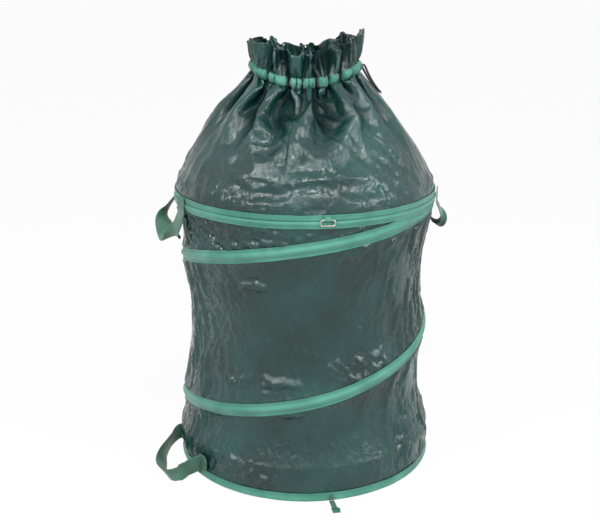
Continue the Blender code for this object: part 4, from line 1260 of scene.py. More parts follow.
def make_handles():
    """The three carrying straps, each on its own swing."""
    hang_z = TOP_Z + BINDING_HEIGHT - PATCH_HEIGHT - CLEARANCE
    for name, (centre, out, drop, roll_deg, lean_share) in UPPER_HANDLES.items():
        away, side = outward(centre), along(centre)
        reach = CASING_OUTER + CLEARANCE + WEBBING / 2
        half_span, hang = reach * math.sin(math.radians(HALF_DEG)), reach * math.cos(math.radians(HALF_DEG))
        shares = [(-a, b, c) for a, b, c in HANDLE_SHARES] + list(reversed(HANDLE_SHARES))[1:]
        route = [away * (hang + out * o * (1.0 - lean_share * a)) + side * half_span * a
                 + UP * (hang_z - drop * d) for a, o, d in shares]
        middles = curve_through(route, 8)
        roll = math.radians(roll_deg)
        leaning = away * math.cos(roll) - UP * math.sin(roll)
        place = np.linspace(-1, 1, len(middles))
        begin, end = TWIST_SHARES
        turned = smooth((1.0 - np.abs(place) - begin) / (end - begin))[:, None]
        flat = along(centre + np.copysign(HALF_DEG, place)) * np.copysign(1.0, -place)[:, None]
        across = flat * (1.0 - turned) + leaning * turned
        across /= np.linalg.norm(across, axis=1)[:, None]
        made = webbing_strap(name + "_strap", middles, across, STRAP_WIDTH, 0.0009, 71)
        settle(made, name, [name])
    away, side = outward(BOTTOM_HANDLE_DEG), along(BOTTOM_HANDLE_DEG)
    seat = (BOTTOM_PATCH_RADIUS + WEBBING) * math.cos(math.radians(BOTTOM_HANDLE_HALF_DEG))
    half_span = (BOTTOM_PATCH_RADIUS + WEBBING) * math.sin(math.radians(BOTTOM_HANDLE_HALF_DEG))
    lowest = GROUND_GAP + STRAP_WIDTH / 2
    route, leans = [], []
    for share, out, down, lean in BOTTOM_HANDLE_SHARES:
        leant = math.radians(BOTTOM_HANDLE_LEAN_DEG * lean)
        height = BOTTOM_PATCH_CENTRE + (lowest - BOTTOM_PATCH_CENTRE) * down
        height -= STRAP_WIDTH / 2 * (1.0 - math.cos(leant))
        flat = away * (seat + BOTTOM_HANDLE_REACH * out) + side * half_span * share
        route.append((flat[0], flat[1], height))
        leans.append((leant,))
    middles, leans = curve_through(route, 7), curve_through(leans, 7)[:, 0]
    runs = np.gradient(middles, axis=0)
    outer = np.column_stack((runs[:, 1], -runs[:, 0], np.zeros(len(runs))))
    outer *= np.sign((outer[:, :2] * middles[:, :2]).sum(axis=1))[:, None]
    outer /= np.linalg.norm(outer, axis=1)[:, None]
    across = UP * np.cos(leans)[:, None] + outer * np.sin(leans)[:, None]
    made = webbing_strap("handle_bottom_strap", middles, across, STRAP_WIDTH, 0.0007, 74)
    clamp_floor(made)
    settle(made, "handle_bottom", ["handle_bottom"])


def make_closing_ring():
    """The wire ring in its folded tab."""
    away, side = outward(RING_DEG), along(RING_DEG)
    top = polar(CASING_OUTER + CLEARANCE + RING_WIRE_RADIUS, RING_DEG, TOP_Z + BINDING_HEIGHT - TAB_LEG)
    middle = top - UP * (RING_HEIGHT / 2 - RING_WIRE_RADIUS)
    path = round_box(RING_WIDTH - 2 * RING_WIRE_RADIUS, RING_HEIGHT - 2 * RING_WIRE_RADIUS, RING_CORNER)
    places = [middle + side * x + UP * z for x, z in path]
    ring = sweep("closing_ring_wire", places, np.tile(away, (len(places), 1)),
                 oval(RING_WIRE_RADIUS, RING_WIRE_RADIUS, 12), finish("nickel_plated_wire"), closed=True)
    settle(ring, "closing_ring", ["closing_ring"])
    channel = RING_WIRE_RADIUS + CLEARANCE + TAPE / 2
    binding = HOOP_RADIUS + CLOTH / 2 + CLEARANCE + TAPE
    inner = binding + CLEARANCE + TAPE / 2 - float(np.dot(top, away))
    outer = inner + TAPE + CLEARANCE
    bar = [(out * channel, up * channel) for out, up in TAB_BAR_SHARES]
    line = [(inner, TAB_LEG), (inner, 2.15 * channel), *bar, (outer, 2.15 * channel), (outer, TAB_LEG)]
    outline = thick_line(rounded(line), TAPE)
    path = [top + side * TAB_WIDTH / 2 * share for share in np.linspace(-1, 1, 9)]
    tab = sweep("closing_ring_tab_tape", path, np.tile(away, (9, 1)), [(out, -up) for out, up in outline],
                finish("polyester_edging_tape"), sharp_deg=40)
    settle(tab, "top", ["closing_ring_tab"])
    seat = top + away * (outer + TAPE / 2 + THREAD_LIFT) + UP * (TAB_LEG - 0.0016)
    row = [seat + side * 0.0036 * share for share in (-1, 1)]
    settle(stitches("closing_ring_tab_stitches", [(row, False)], 25, 0.0030), "top")


def make_closer():
    """The closing strap under the lower hoop, its sewn end and the moulded hook on its tip."""
    away, side = outward(CLOSER_DEG), along(CLOSER_DEG)
    webbing = finish("polypropylene_webbing")
    middle_z = 2 * CLEARANCE + WEBBING + CLOSER_END_HEIGHT / 2
    end = sewn_plate("closing_strap_sewn_end", CLOSER_DEG, CASING_OUTER + CLEARANCE / 2, middle_z,
                     round_box(CLOSER_WIDTH, CLOSER_END_HEIGHT, 0.0015), TAPE, webbing)
    settle(end, "base", ["closing_strap_end"])
    start = polar(CASING_OUTER + CLEARANCE + TAPE, CLOSER_DEG, CLEARANCE + WEBBING / 2)
    middles = [start + away * CLOSER_LENGTH * share for share in np.linspace(0, 1, 9)]
    strap = webbing_strap("closing_strap_webbing", middles, np.tile(side, (9, 1)), CLOSER_WIDTH, 0.0, 75)
    settle(strap, "closing_strap", ["closing_strap"])
    foot = start + away * (CLOSER_LENGTH + CLEARANCE) - UP * WEBBING / 2
    reach, thick = HOOK_LENGTH, HOOK_PLATE
    outline = [
        (0.0, 0.0), (reach, 0.0), (reach, HOOK_LIP), (reach - HOOK_RETURN, HOOK_LIP),
        (reach - HOOK_RETURN, HOOK_LIP - HOOK_EDGE), (reach - thick, HOOK_LIP - 0.0018), (reach - thick, thick),
        (0.0, thick),
    ]
    outline = soft_corners(outline, 0.0008)
    width = HOOK_WIDTH / 2
    places = [foot + side * at for at in (-width, -width + 0.0006, width - 0.0006, width)]
    hook = sweep("closing_hook_moulding", places, np.tile(away, (4, 1)), [(out, -up) for out, up in outline],
                 finish("moulded_polypropylene"), sharp_deg=40)
    settle(hook, "closing_strap", ["closing_hook"])


# The neck's main folds: azimuth, depth, half width in degrees, how far down the collar they start,
# how far they drift by there and how far their crest hangs over, both in degrees
FRONT_FOLDS = (
    (-158.0, 0.016, 4.5, 0.35, -4.0, 3.0),
    (-134.0, 0.027, 3.8, 0.50, 3.0, 5.0),
    (-123.0, 0.010, 2.4, 0.80, 1.0, 0.0),
    (-108.0, 0.029, 3.4, 0.40, -3.0, -6.0),
    (-99.0, 0.010, 2.2, 0.72, 0.0, 2.0),
    (-92.5, 0.020, 2.6, 0.50, -1.0, 3.0),
    (-86.0, 0.008, 2.0, 0.80, 0.0, 0.0),
    (-77.0, 0.031, 3.3, 0.48, -4.0, -5.0),
    (-64.0, 0.024, 2.8, 0.52, -9.0, 4.0),
    (-48.0, 0.027, 3.8, 0.72, 4.0, 7.0),
    (-30.0, 0.020, 3.4, 0.45, 4.0, -3.0),
    (-20.0, 0.013, 3.0, 0.60, 3.0, 2.0),
)


def neck_folds():
    """The photo's folds at the front and evenly scattered ones round the back."""
    draw = np.random.default_rng(8)
    rest = [
        (degrees + draw.uniform(-4, 4), draw.uniform(0.012, 0.026), draw.uniform(2.6, 4.2),
         draw.uniform(0.35, 0.7), draw.uniform(-5, 5), draw.uniform(-5, 5))
        for degrees in np.arange(-7.0, 198.0, 12.5)
    ]
    return [*FRONT_FOLDS, *rest]


def valley(deg, centre, spread):
    """How far down in a fold's valley a place is: 1 on its sharp bottom, falling off to both sides."""
    off = (deg - centre + 180) % 360 - 180
    return np.exp(-np.abs(off / spread) ** 1.35)


def gathered_radius(deg):
    """The neck's cloth under the tape: crests between sharp tucks."""
    depth = 0.0016 * pleat(deg)
    for at, deep, wide, _, _, _ in neck_folds():
        depth = depth + 0.60 * deep * valley(deg, at, wide * (1.05 if deep > 0.019 else 0.8))
    return NECK_RADIUS - np.minimum(depth, 0.0165)


def collar_folds(deg, rise):
    """How deep the collar is folded in, and how far round each place is dragged over its fold's valley."""
    depth, dragged = np.zeros(deg.shape), np.zeros(deg.shape)
    for at, deep, wide, start, drift, hang in neck_folds():
        grown_in = smooth((rise - start) / (TUCKS_FROM - start)) ** 0.75
        centre = at + drift * (1.0 - rise) / (1.0 - start)
        spread = wide * (0.95 + 1.3 * (1.0 - rise))
        depth += 1.55 * deep * grown_in * valley(deg, centre, spread)
        dragged += hang * grown_in * valley(deg, centre + 0.8 * math.copysign(1.0, hang) * spread, 1.3 * spread)
    return depth, dragged


# The collar's large marks: (azimuth, height) from and to, width, rise, bow and far width
COLLAR_MARKS = (
    ((-131, 0.558), (-99, 0.548), 0.004, 0.0075, 0.10, 0.016),
    ((-99, 0.548), (-62, 0.553), 0.004, 0.0075, 0.12, 0.016),
    ((-96, 0.632), (-99, 0.549), 0.0025, 0.0080, 0.0, 0.012),
    ((-95, 0.625), (-89, 0.575), 0.0025, 0.0060, 0.0, 0.010),
    ((-116, 0.668), (-124, 0.598), 0.0025, 0.0085, 0.0, 0.014),
    ((-116, 0.668), (-105, 0.603), 0.0025, 0.0070, 0.0, 0.010),
    ((-104, 0.602), (-126, 0.595), 0.0025, 0.0070, 0.12, 0.010),
    ((-71, 0.665), (-44, 0.645), 0.0025, 0.0090, 0.0, 0.012),
    ((-56, 0.648), (-57, 0.575), 0.0030, 0.0075, 0.12, 0.016),
    ((-57, 0.577), (-81, 0.550), 0.0030, 0.0060, 0.10, 0.014),
    ((-46, 0.620), (-34, 0.545), 0.004, 0.0060, 0.0, 0.010),
    ((-40, 0.640), (-28, 0.560), 0.003, 0.0050, 0.0, 0.008),
    ((-120, 0.640), (-117, 0.600), 0.006, 0.0060, 0.0, 0.012),
    ((-150, 0.640), (-156, 0.540), 0.006, 0.0060, 0.0, 0.014),
    ((-143, 0.620), (-147, 0.530), 0.004, 0.0045, 0.0, 0.008),
)


def collar_lines():
    """The collar's creases: small ones at the hoop, upright ones higher up, and the large marks."""
    draw = np.random.default_rng(77)
    lines = []
    for _ in range(150):
        width = draw.uniform(0.0016, 0.0040)
        lines.append((draw.uniform(0, GIRTH), draw.uniform(0.502, 0.526), draw.normal(90, 50),
                      draw.uniform(0.02, 0.06), width, draw.uniform(0.0015, 0.0042), draw.uniform(-0.4, 0.4),
                      width))
    for _ in range(70):
        width = draw.uniform(0.0016, 0.0036)
        lines.append((draw.uniform(0, GIRTH), draw.uniform(0.55, 0.67), draw.normal(90, 18),
                      draw.uniform(0.04, 0.11), width, draw.uniform(0.0010, 0.0034), draw.uniform(-0.3, 0.3),
                      width * draw.uniform(1, 3)))
    return lines + [crease_between(*mark) for mark in COLLAR_MARKS]


def drawn_to(places, first, second, rest, share, only_short=False):
    """Moves each pair of points towards its distance in the flat cloth."""
    gap = places[second] - places[first]
    length = np.maximum(np.linalg.norm(gap, axis=-1), 1e-7)
    pull = share * 0.5 * (1.0 - rest / length)
    if only_short:
        pull = np.minimum(pull, 0.0)
    step = pull[..., None] * gap
    places[first] += step
    places[second] -= step


def buckled(places, across, upward, held, limit, passes, stiff):
    """Lets a round sheet buckle to its own size: across and upward are its cut's cell sizes in metres."""
    columns, rows = places.shape[:2]
    places = places.copy()
    kept = places[held].copy()
    ring = np.arange(columns)
    high = np.arange(rows)
    slant = np.hypot(0.5 * (across[:, :-1] + across[:, 1:]), upward)
    for _ in range(passes):
        for even in (0, 1):
            here = ring[even::2]
            there = (here + 1) % columns
            drawn_to(places, here, there, across[here], 0.9)
            low = high[even:-1:2]
            drawn_to(places, (slice(None), low), (slice(None), low + 1), upward[:, low], 0.9)
            for one, other in ((low, low + 1), (low + 1, low)):
                first, second = np.ix_(here, one), np.ix_(there, other)
                drawn_to(places, first, second, slant[np.ix_(here, low)], 0.35)
        for third in (0, 1, 2, 3):
            here = ring[third::4][: columns // 4]
            drawn_to(places, here, (here + 2) % columns, 2.0 * across[here], stiff, True)
            low = high[third:-2:4]
            drawn_to(places, (slice(None), low), (slice(None), low + 2), 2.0 * upward[:, low], stiff, True)
        limit(places)
        places[held] = kept
    return places


def finer(places):
    """The same sheet with twice the points each way."""
    after = np.roll(places, -1, axis=0)
    before = np.roll(places, 1, axis=0)
    far = np.roll(places, -2, axis=0)
    middle = 0.5625 * (places + after) - 0.0625 * (before + far)
    wide = np.stack((places, middle), axis=1).reshape(-1, *places.shape[1:])
    rows = 2 * places.shape[1] - 1
    result = np.empty((wide.shape[0], rows, 3))
    result[:, 0::2] = wide
    result[:, 1::2] = 0.5 * (wide[:, :-1] + wide[:, 1:])
    return result


def collar_profile():
    """Tables of the collar's rise and of its way out, both as shares."""
    knots = np.array(COLLAR_SHARES)
    fine = np.linspace(0, len(knots) - 1, 400)
    return curve_value(knots[:, 0], fine), curve_value(knots[:, 1], fine)


def gathered_cloth():
    """The collar's cloth, sewn flat to the hoop, drawn together at the neck and left to buckle between."""
    sizes = bpy.context.scene.leaf_bag_sizes
    columns, rows = sizes.collar_columns, sizes.collar_rows
    rise_table, out_table = collar_profile()
    straight = TOP_Z + BINDING_HEIGHT + CLEARANCE
    top = NECK_Z - straight

    def envelope(places):
        """Keeps the collar under its taut outline, and its folds from running to the middle."""
        radius = from_axis(places)
        rise = np.clip((places[..., 2] - straight) / top, 0.0, 1.0)
        most = NECK_RADIUS + (HOOP_RADIUS - NECK_RADIUS) * np.interp(rise, rise_table, out_table)
        most = most + 0.0010 + 0.0045 * np.sin(np.pi * rise)
        drawn_in(places, np.minimum(1.0, most / radius))
        drawn_in(places, np.maximum(1.0, (most - COLLAR_IN) / np.maximum(radius, 1e-4)))

    def laid(columns, rows):
        """The taut collar on a grid: azimuths, shares of its rise, radii, heights and its cut's cell sizes."""
        deg, up = grid_of(round_degrees(columns), np.linspace(0.0, 1.0, rows + 1))
        crest = NECK_RADIUS + (HOOP_RADIUS - NECK_RADIUS) * np.interp(up, rise_table, out_table)
        height = straight + (neck_height(deg) - straight) * up
        edge = np.linalg.norm(np.diff(np.stack((crest[0], height[0]), axis=-1), axis=0), axis=-1)
        across = 2 * math.pi * crest / columns * (1.0 + np.interp(up, *COLLAR_SPARE))
        upward = np.broadcast_to(1.002 * edge[None, :], (columns, rows))
        return deg, up, crest, height, across, upward, edge

    deg, up, crest, height, across, upward, _ = laid(columns, rows)
    depth, dragged = collar_folds(deg, up)
    at_neck = smooth((up - TUCKS_FROM) / 0.07)
    depth = depth * (1 - at_neck) + at_neck * (NECK_RADIUS - gathered_radius(deg))
    loose = np.sin(np.pi * up)
    places = polar(crest, deg, height).reshape(-1, 3)
    uneven = 0.004 * lumps(places, 0.085, 5)
    places = polar(crest - depth + uneven.reshape(deg.shape) * loose, deg + dragged * (1 - at_neck), height)
    places = buckled(places, across, upward, (up == 0) | (up == 1), envelope, passes=70, stiff=0.45)
    for more, passes, stiff, spare_share in ((2, 90, 0.45, 0.001), (4, 70, 0.40, 0.003)):
        places = finer(places)
        deg, up, _, height, across, upward, _ = laid(more * columns, more * rows)
        places[:, -1] = polar(gathered_radius(deg[:, -1]), deg[:, -1], height[:, -1])
        shaken = places[:, 1:-1].shape
        places[:, 1:-1] += np.random.default_rng(3).uniform(-0.0005, 0.0005, shaken)
        near = smooth(up / 0.05) * (1.0 - smooth((up - 0.22) / 0.25))
        patchy = smooth(0.3 + lumps(places.reshape(-1, 3), 0.06, 9).reshape(deg.shape))
        size = 1.0 + spare_share * near + spare_share * patchy
        places = buckled(places, across * size, upward * (0.5 + 0.5 * size[:, :-1]), (up == 0) | (up == 1),
                         envelope, passes=passes, stiff=stiff)
    places = finer(places)
    deg, up, crest, height, _, _, edge = laid(8 * columns, 8 * rows)
    flat = places.reshape(-1, 3)
    facets = 0.0011 * (plates(flat * (1, 1, 0.7), 0.048, 65) - 1.0) + 0.0003 * (plates(flat, 0.013, 67) - 1.0)
    marks = creases(np.radians(deg.ravel()) * HOOP_RADIUS, height.ravel(), collar_lines())
    loose = (smooth(up / 0.05) * smooth((0.97 - up) / 0.08)).ravel()
    flat = flat + outward(deg.ravel()) * ((facets + 0.8 * marks) * loose)[:, None]
    places = flat.reshape(places.shape)
    envelope(places)
    # Painted shade: the deeper a place lies inside the collar's taut outline, from halfway up, the darker its
    # finish is painted.
    fold_shade_share = (crest - from_axis(places)) / 0.022 * smooth((up - 0.45) / 0.30)
    return deg[:, 0], np.concatenate(([0.0], np.cumsum(edge))), places, fold_shade_share


def make_collar():
    """The collar's cloth with its hem in the binding and its top under the neck's tape."""
    degrees, slant, cloth, fold_shade_share = gathered_cloth()
    low = TOP_Z + CLEARANCE / 2 + TAPE + CLEARANCE
    hem = polar(HOOP_RADIUS, degrees[:, None], np.array((low, low + 0.004, low + 0.007))[None, :])
    above = polar(gathered_radius(degrees), degrees, neck_height(degrees) + 0.004)[:, None]
    places = np.concatenate((hem, cloth, above), axis=1)
    up = np.concatenate(((-0.010, -0.006, -0.003), slant, (slant[-1] + 0.004,)))
    fold_shade_share = np.concatenate((np.zeros((len(degrees), 3)), fold_shade_share, fold_shade_share[:, -1:]), axis=1)
    mesh = grid_mesh("collar_cloth", places, cut_uv(degrees[:, None], up[None, :]), True, fold_shade_share)
    collar = new_object("collar_cloth", mesh, finish("coated_woven_polyethylene"))
    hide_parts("collar")
    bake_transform(collar)


def make_frill():
    """The cloth above the cord: bunched by the tape and buckling freely up to its ragged, turned edge."""
    columns, rows = 480, 22
    deg, share = grid_of(round_degrees(columns), np.linspace(0.0, 1.0, rows + 1))
    eighths = (*FRILL_HEIGHT_SHARES, FRILL_HEIGHT_SHARES[0])
    tall = FRILL_HEIGHT * curve_value(eighths, (deg % 360) / 45.0)
    tall = tall * (1.0 + 0.06 * np.sin(np.radians(deg * 9 + 20)) + 0.05 * np.sin(np.radians(deg * 23 + 70)))
    band = 5
    free = smooth((share * rows - band) / 5.0)
    depth, dragged = np.zeros(deg.shape), np.zeros(deg.shape)
    draw = np.random.default_rng(19)
    for at, deep, wide, _, _, hang in neck_folds():
        if deep < FRILL_LEAST_FOLD:
            continue
        centre = at + draw.uniform(-7, 7) * share
        spread = wide * (1.1 + draw.uniform(0.4, 1.2) * share)
        depth += draw.uniform(0.8, 1.3) * deep * valley(deg, centre, spread)
        dragged += 1.5 * hang * valley(deg, centre + 0.9 * math.copysign(1.0, hang) * spread, 1.4 * spread)
    inward = (1 - free) * (NECK_RADIUS - gathered_radius(deg)) + free * depth
    radius = NECK_RADIUS + 0.008 * free * share - inward
    low = neck_height(deg) + CLEARANCE
    places = polar(radius, deg + dragged * free, low + tall * share)
    around = GIRTH * FRILL_GIRTH_SHARE / columns
    step = steps_round(places)
    across = step * (1 - free) + np.maximum(around, 0.2 * step) * free

    def envelope(places):
        turned = np.degrees(np.arctan2(places[..., 1], places[..., 0]))
        rise = np.clip((places[..., 2] - neck_height(turned)) / FRILL_HEIGHT, 0.0, 1.1)
        radius = from_axis(places)
        most = NECK_RADIUS + 0.0005 + 0.007 * rise
        over = np.clip(most / radius, 0.0, 1.0)
        least = most - FRILL_IN
        drawn_in(places, np.where(radius < least, least / np.maximum(radius, 1e-4), over))

    places = buckled(places, across, tall[:, 1:] / rows, share * rows <= band, envelope, passes=160, stiff=0.48)
    uv = cut_uv(deg, np.linspace(0.0, FRILL_HEIGHT, rows + 1)[None, :])
    # Painted shade: the deeper a place lies inside the frill's outline, the darker its finish is painted.
    fold_shade_share = (NECK_RADIUS + 0.005 * share - from_axis(places)) / 0.026
    mesh = grid_mesh("neck_frill_cloth", places, uv, True, fold_shade_share)
    frill = new_object("neck_frill_cloth", mesh, finish("coated_woven_polyethylene"))
    thickened(frill, 0.0004, 0.0)
    settle(frill, "neck", ["neck_frill"])


def neck_places(out):
    """Points round the neck's tunnel, from one end of the cord's slot to the other."""
    count = NECK_COLUMNS - (SLOT_LAST_COLUMN - SLOT_FIRST_COLUMN)
    degrees = np.linspace(SLOT_LAST_COLUMN, SLOT_LAST_COLUMN + count, count * 9 + 1) * 360.0 / NECK_COLUMNS
    radius = gathered_radius(degrees) + CLOTH / 2 + out
    return polar(radius, degrees, neck_height(degrees) + NECK_TAPE_WIDTH / 2), degrees


def make_neck():
    """The puckered tape that holds the cord round the neck, and the stretch of cord inside it."""
    columns, rows = 768, 8
    slot_last = SLOT_LAST_COLUMN * columns // NECK_COLUMNS
    slot_first = SLOT_FIRST_COLUMN * columns // NECK_COLUMNS
    degrees = 360.0 * (np.arange(columns) + slot_last) / columns
    deg, side = grid_of(degrees, np.linspace(-1.0, 1.0, rows + 1))
    bulge = 2 * CORD_RADIUS * np.abs(np.cos(side * math.pi / 2))
    lying = gathered_radius(deg) + CLOTH / 2 + CLEARANCE + TAPE / 2 + bulge
    low = neck_height(deg)
    height = low + NECK_TAPE_WIDTH / 2 * (1 + side)
    places = polar(lying, deg, height)
    flat = places.reshape(-1, 3)
    pucker = 0.0022 * lumps(flat * (1, 1, 0.8), 0.014, 91) + 0.0010 * lumps(flat, 0.006, 92)
    height = height + 0.0022 * lumps(flat, 0.030, 93).reshape(deg.shape)
    across, upward = steps_round(places), steps_up(places)
    places = polar(lying + pucker.reshape(deg.shape), deg, height)

    def envelope(places):
        now = from_axis(places)
        drawn_in(places, np.clip(now, lying - 0.0030, lying + 0.0022) / now)
        places[..., 2] = np.clip(places[..., 2], low - 0.0020, low + NECK_TAPE_WIDTH + 0.0015)

    free = np.zeros(deg.shape, bool)
    places = buckled(places, 1.22 * across, 1.06 * upward, free, envelope, passes=110, stiff=0.30)
    kept = columns - (slot_last - slot_first) + 1
    uv = cut_uv(degrees[:kept, None], NECK_TAPE_WIDTH / 2 * side[:1])
    # Painted shade: where the tape dives in under the neck's outline, its finish is painted darker.
    fold_shade_share = (NECK_RADIUS - 0.001 - from_axis(places)) / 0.009
    mesh = grid_mesh("neck_tape", places[:kept], uv, False, fold_shade_share[:kept])
    tape = new_object("neck_tape", mesh, finish("polyester_edging_tape"))
    thickened(tape, 0.0006, 0.0)
    settle(tape, "neck", ["neck_channel"])
    path, degrees = neck_places(CLEARANCE + CORD_RADIUS)
    cord = sweep("drawstring_in_tape", path, outward(degrees), oval(CORD_RADIUS * 0.95, CORD_RADIUS * 0.95, 10),
                 finish("braided_polyester_cord"))
    settle(cord, "neck", ["drawstring"])


def make_cord():
    """The cord's bight that hangs out of the slot: out of one end of the tunnel and back into the other."""
    ends = [column * 360.0 / NECK_COLUMNS for column in (SLOT_FIRST_COLUMN, SLOT_LAST_COLUMN)]
    middle = [
        polar(neck_radius(a) + CLOTH / 2 + CLEARANCE + CORD_RADIUS, a, neck_height(a) + NECK_TAPE_WIDTH / 2)
        for a in ends
    ]
    start, end = middle[0] + along(ends[0]) * CLEARANCE, middle[1] - along(ends[1]) * CLEARANCE
    leads = (0.0, CORD_RADIUS, 2.0 * CORD_RADIUS)
    route = [start + along(ends[0]) * lead for lead in leads]
    route += [polar(radius, degrees, TOP_Z + height) for degrees, radius, height in CORD_ROUTE]
    route += [end - along(ends[1]) * lead for lead in reversed(leads)]
    points = curve_through(route, 2)
    curve = bpy.data.curves.new("drawstring_bight", "CURVE")
    curve.dimensions = "3D"
    curve.bevel_depth = CORD_RADIUS
    curve.bevel_resolution = 3
    curve.use_fill_caps = True
    spline = curve.splines.new("POLY")
    spline.points.add(len(points) - 1)
    spline.points.foreach_set("co", np.column_stack((points, np.ones(len(points)))).ravel())
    curve.materials.append(finish("braided_polyester_cord"))
    cord = bpy.data.objects.new("drawstring_bight", curve)
    bpy.context.scene.collection.objects.link(cord)
    settle(cord, "neck", ["drawstring_loop"])


# Stage


def seen_ray(tree):
    """1 for rays from the camera, off metal and through glass, 0 for the rest, which light the bag."""
    paths = tree.nodes.new("ShaderNodeLightPath")
    seen = math_node(tree, "MAXIMUM", paths.outputs["Is Camera Ray"], paths.outputs["Is Glossy Ray"])
    return math_node(tree, "MAXIMUM", seen, paths.outputs["Is Transmission Ray"])


def make_stage():
    """The photo's camera, its white room and paper floor, and four soft lamps."""
    scene = bpy.context.scene
    scene.view_settings.view_transform = "Standard"
    camera = bpy.data.objects.new("photo_camera", bpy.data.cameras.new("photo_camera"))
    camera.location = CAMERA_PLACE
    camera.rotation_euler = CAMERA_TURN
    camera.data.lens = CAMERA_LENS
    camera.data.sensor_width = 36.0
    camera.data.clip_start = 0.05
    scene.collection.objects.link(camera)
    scene.camera = camera

    world = bpy.data.worlds.new("soft_room")
    world.use_nodes = True
    tree = world.node_tree
    background = tree.nodes["Background"]
    strength = ramp(tree, seen_ray(tree), 0.0, 1.0, ROOM_LIGHT, ROOM_SEEN)
    feed(tree, background, {"Color": (1, 1, 1, 1), "Strength": strength})
    scene.world = world

    far = FLOOR_HALF
    mesh = bpy.data.meshes.new("studio_floor")
    mesh.from_pydata([(-far, -far, 0), (far, -far, 0), (far, far, 0), (-far, far, 0)], [], [(0, 1, 2, 3)])
    material, tree, surface = shader("studio_paper")
    feed(tree, surface, {"Base Color": (0.92, 0.92, 0.92, 1.0), "Roughness": 0.9})
    glow = add_node(tree, "ShaderNodeEmission", {"Color": (1, 1, 1, 1), "Strength": 1.0})
    share = math_node(tree, "MULTIPLY", seen_ray(tree), 0.96)
    mix = add_node(tree, "ShaderNodeMixShader", {0: share, 1: surface.outputs[0], 2: glow.outputs[0]})
    tree.links.new(mix.outputs[0], tree.nodes["Material Output"].inputs["Surface"])
    floor = new_object("studio_floor", mesh, material)
    floor.location.z = -FLOOR_DROP

    for name, place, width, height, power in LAMPS:
        light = bpy.data.lights.new(name, "AREA")
        light.shape = "RECTANGLE"
        light.size, light.size_y = width, height
        light.energy = power
        lamp = bpy.data.objects.new(name, light)
        lamp.location = place
        lamp.rotation_euler = (LAMP_AIM - Vector(place)).to_track_quat("-Z", "Y").to_euler()
        scene.collection.objects.link(lamp)


class LEAF_BAG_OT_stage(bpy.types.Operator):
    """The camera, lamps, room and floor"""

    bl_idname = "leaf_bag.stage"
    bl_label = "Stage"

    def execute(self, context):
        make_stage()
        return {"FINISHED"}


class LEAF_BAG_OT_cord(bpy.types.Operator):
    """The cord that hangs out of the neck's tape"""

    bl_idname = "leaf_bag.cord"
    bl_label = "Drawstring's bight"

    def execute(self, context):
        make_cord()
        return {"FINISHED"}


class LEAF_BAG_OT_wall(bpy.types.Operator):
    """The crinkled wall between the hoops"""

    bl_idname = "leaf_bag.wall"
    bl_label = "Side wall"

    def execute(self, context):
        make_wall()
        return {"FINISHED"}


class LEAF_BAG_OT_base(bpy.types.Operator):
    """The round floor of the bag"""

    bl_idname = "leaf_bag.base"
    bl_label = "Base"

    def execute(self, context):
        make_base()
        return {"FINISHED"}


class LEAF_BAG_OT_ring_tapes(bpy.types.Operator):
    """The folded tapes round the hoops and the collar's edge"""

    bl_idname = "leaf_bag.ring_tapes"
    bl_label = "Ring tapes"

    def execute(self, context):
        make_ring_tapes()
        return {"FINISHED"}


class LEAF_BAG_OT_spring(bpy.types.Operator):
    """The coiled wire and its tape"""

    bl_idname = "leaf_bag.spring"
    bl_label = "Spring"

    def execute(self, context):
        make_spring()
        return {"FINISHED"}


class LEAF_BAG_OT_collar(bpy.types.Operator):
    """The gathered collar"""

    bl_idname = "leaf_bag.collar"
    bl_label = "Collar"

    def execute(self, context):
        make_collar()
        return {"FINISHED"}


class LEAF_BAG_OT_frill(bpy.types.Operator):
    """The ruffled cloth above the cord"""

    bl_idname = "leaf_bag.frill"
    bl_label = "Frill"

    def execute(self, context):
        make_frill()
        return {"FINISHED"}


class LEAF_BAG_OT_neck(bpy.types.Operator):
    """The puckered tape and the cord in it"""

    bl_idname = "leaf_bag.neck"
    bl_label = "Neck tape"

    def execute(self, context):
        make_neck()
        return {"FINISHED"}


class LEAF_BAG_OT_ring_rows(bpy.types.Operator):
    """The rows of thread round the hoops' tapes"""

    bl_idname = "leaf_bag.ring_rows"
    bl_label = "Rings' stitches"

    def execute(self, context):
        ring_rows()
        return {"FINISHED"}


class LEAF_BAG_OT_spring_rows(bpy.types.Operator):
    """The rows of thread along the spring's tape"""

    bl_idname = "leaf_bag.spring_rows"
    bl_label = "Spring's stitches"

    def execute(self, context):
        spring_rows()
        return {"FINISHED"}


class LEAF_BAG_OT_handle_ends(bpy.types.Operator):
    """The handles' sewn ends with their stitches"""

    bl_idname = "leaf_bag.handle_ends"
    bl_label = "Handles' ends"

    def execute(self, context):
        make_handle_ends()
        return {"FINISHED"}


class LEAF_BAG_OT_handles(bpy.types.Operator):
    """The three carrying straps"""

    bl_idname = "leaf_bag.handles"
    bl_label = "Handles"

    def execute(self, context):
        make_handles()
        return {"FINISHED"}


class LEAF_BAG_OT_closing_ring(bpy.types.Operator):
    """The wire ring in its tab"""

    bl_idname = "leaf_bag.closing_ring"
    bl_label = "Closing ring"

    def execute(self, context):
        make_closing_ring()
        return {"FINISHED"}


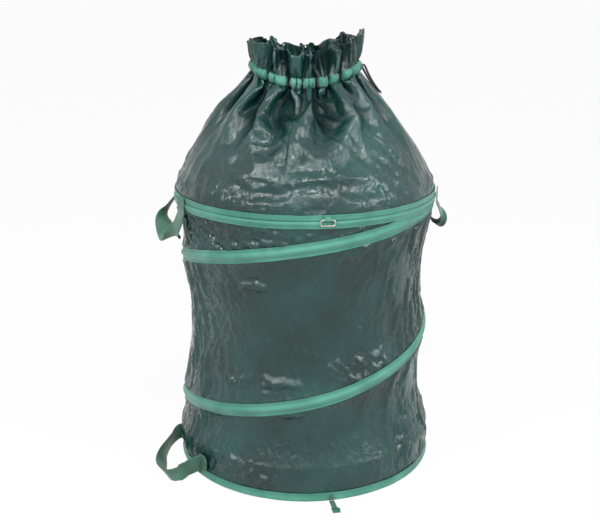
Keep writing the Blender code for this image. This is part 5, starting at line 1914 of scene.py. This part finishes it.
class LEAF_BAG_OT_closer(bpy.types.Operator):
    """The closing strap and its hook"""

    bl_idname = "leaf_bag.closer"
    bl_label = "Closing strap"

    def execute(self, context):
        make_closer()
        return {"FINISHED"}


# In the order in which they run: the camera and the cord come first
OPERATORS = [
    LEAF_BAG_OT_stage, LEAF_BAG_OT_cord, LEAF_BAG_OT_wall,
    LEAF_BAG_OT_base, LEAF_BAG_OT_ring_tapes, LEAF_BAG_OT_spring,
    LEAF_BAG_OT_collar, LEAF_BAG_OT_frill, LEAF_BAG_OT_neck,
    LEAF_BAG_OT_ring_rows, LEAF_BAG_OT_spring_rows, LEAF_BAG_OT_handle_ends,
    LEAF_BAG_OT_handles, LEAF_BAG_OT_closing_ring, LEAF_BAG_OT_closer,
]


class LEAF_BAG_PT_panel(bpy.types.Panel):
    """The bag's sizes, colours and pieces"""

    bl_label = "Leaf bag"
    bl_space_type = "VIEW_3D"
    bl_region_type = "UI"
    bl_category = "Leaf bag"

    def draw(self, context):
        for group in (context.scene.leaf_bag_sizes, context.scene.leaf_bag_colours):
            for key in group.__annotations__:
                self.layout.prop(group, key)
        for operator in OPERATORS:
            self.layout.operator(operator.bl_idname)


CLASSES = [LeafBagColours, LeafBagSizes, *OPERATORS, LEAF_BAG_PT_panel]


def register():
    for made in CLASSES:
        bpy.utils.register_class(made)
    bpy.types.Scene.leaf_bag_colours = PointerProperty(type=LeafBagColours)
    bpy.types.Scene.leaf_bag_sizes = PointerProperty(type=LeafBagSizes)


def unregister():
    del bpy.types.Scene.leaf_bag_sizes
    del bpy.types.Scene.leaf_bag_colours
    for made in reversed(CLASSES):
        bpy.utils.unregister_class(made)


def main():
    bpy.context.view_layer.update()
    register()
    for operator in OPERATORS:
        getattr(bpy.ops.leaf_bag, operator.bl_idname.split(".")[1])()
    for name in ("bottom_hoop", "top_hoop", "bottom_hoop_ferrule", "top_hoop_ferrule"):
        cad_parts[name].data.materials.clear()
        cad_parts[name].data.materials.append(finish("zinc_plated_wire"))


if __name__ == "__main__":
    main()
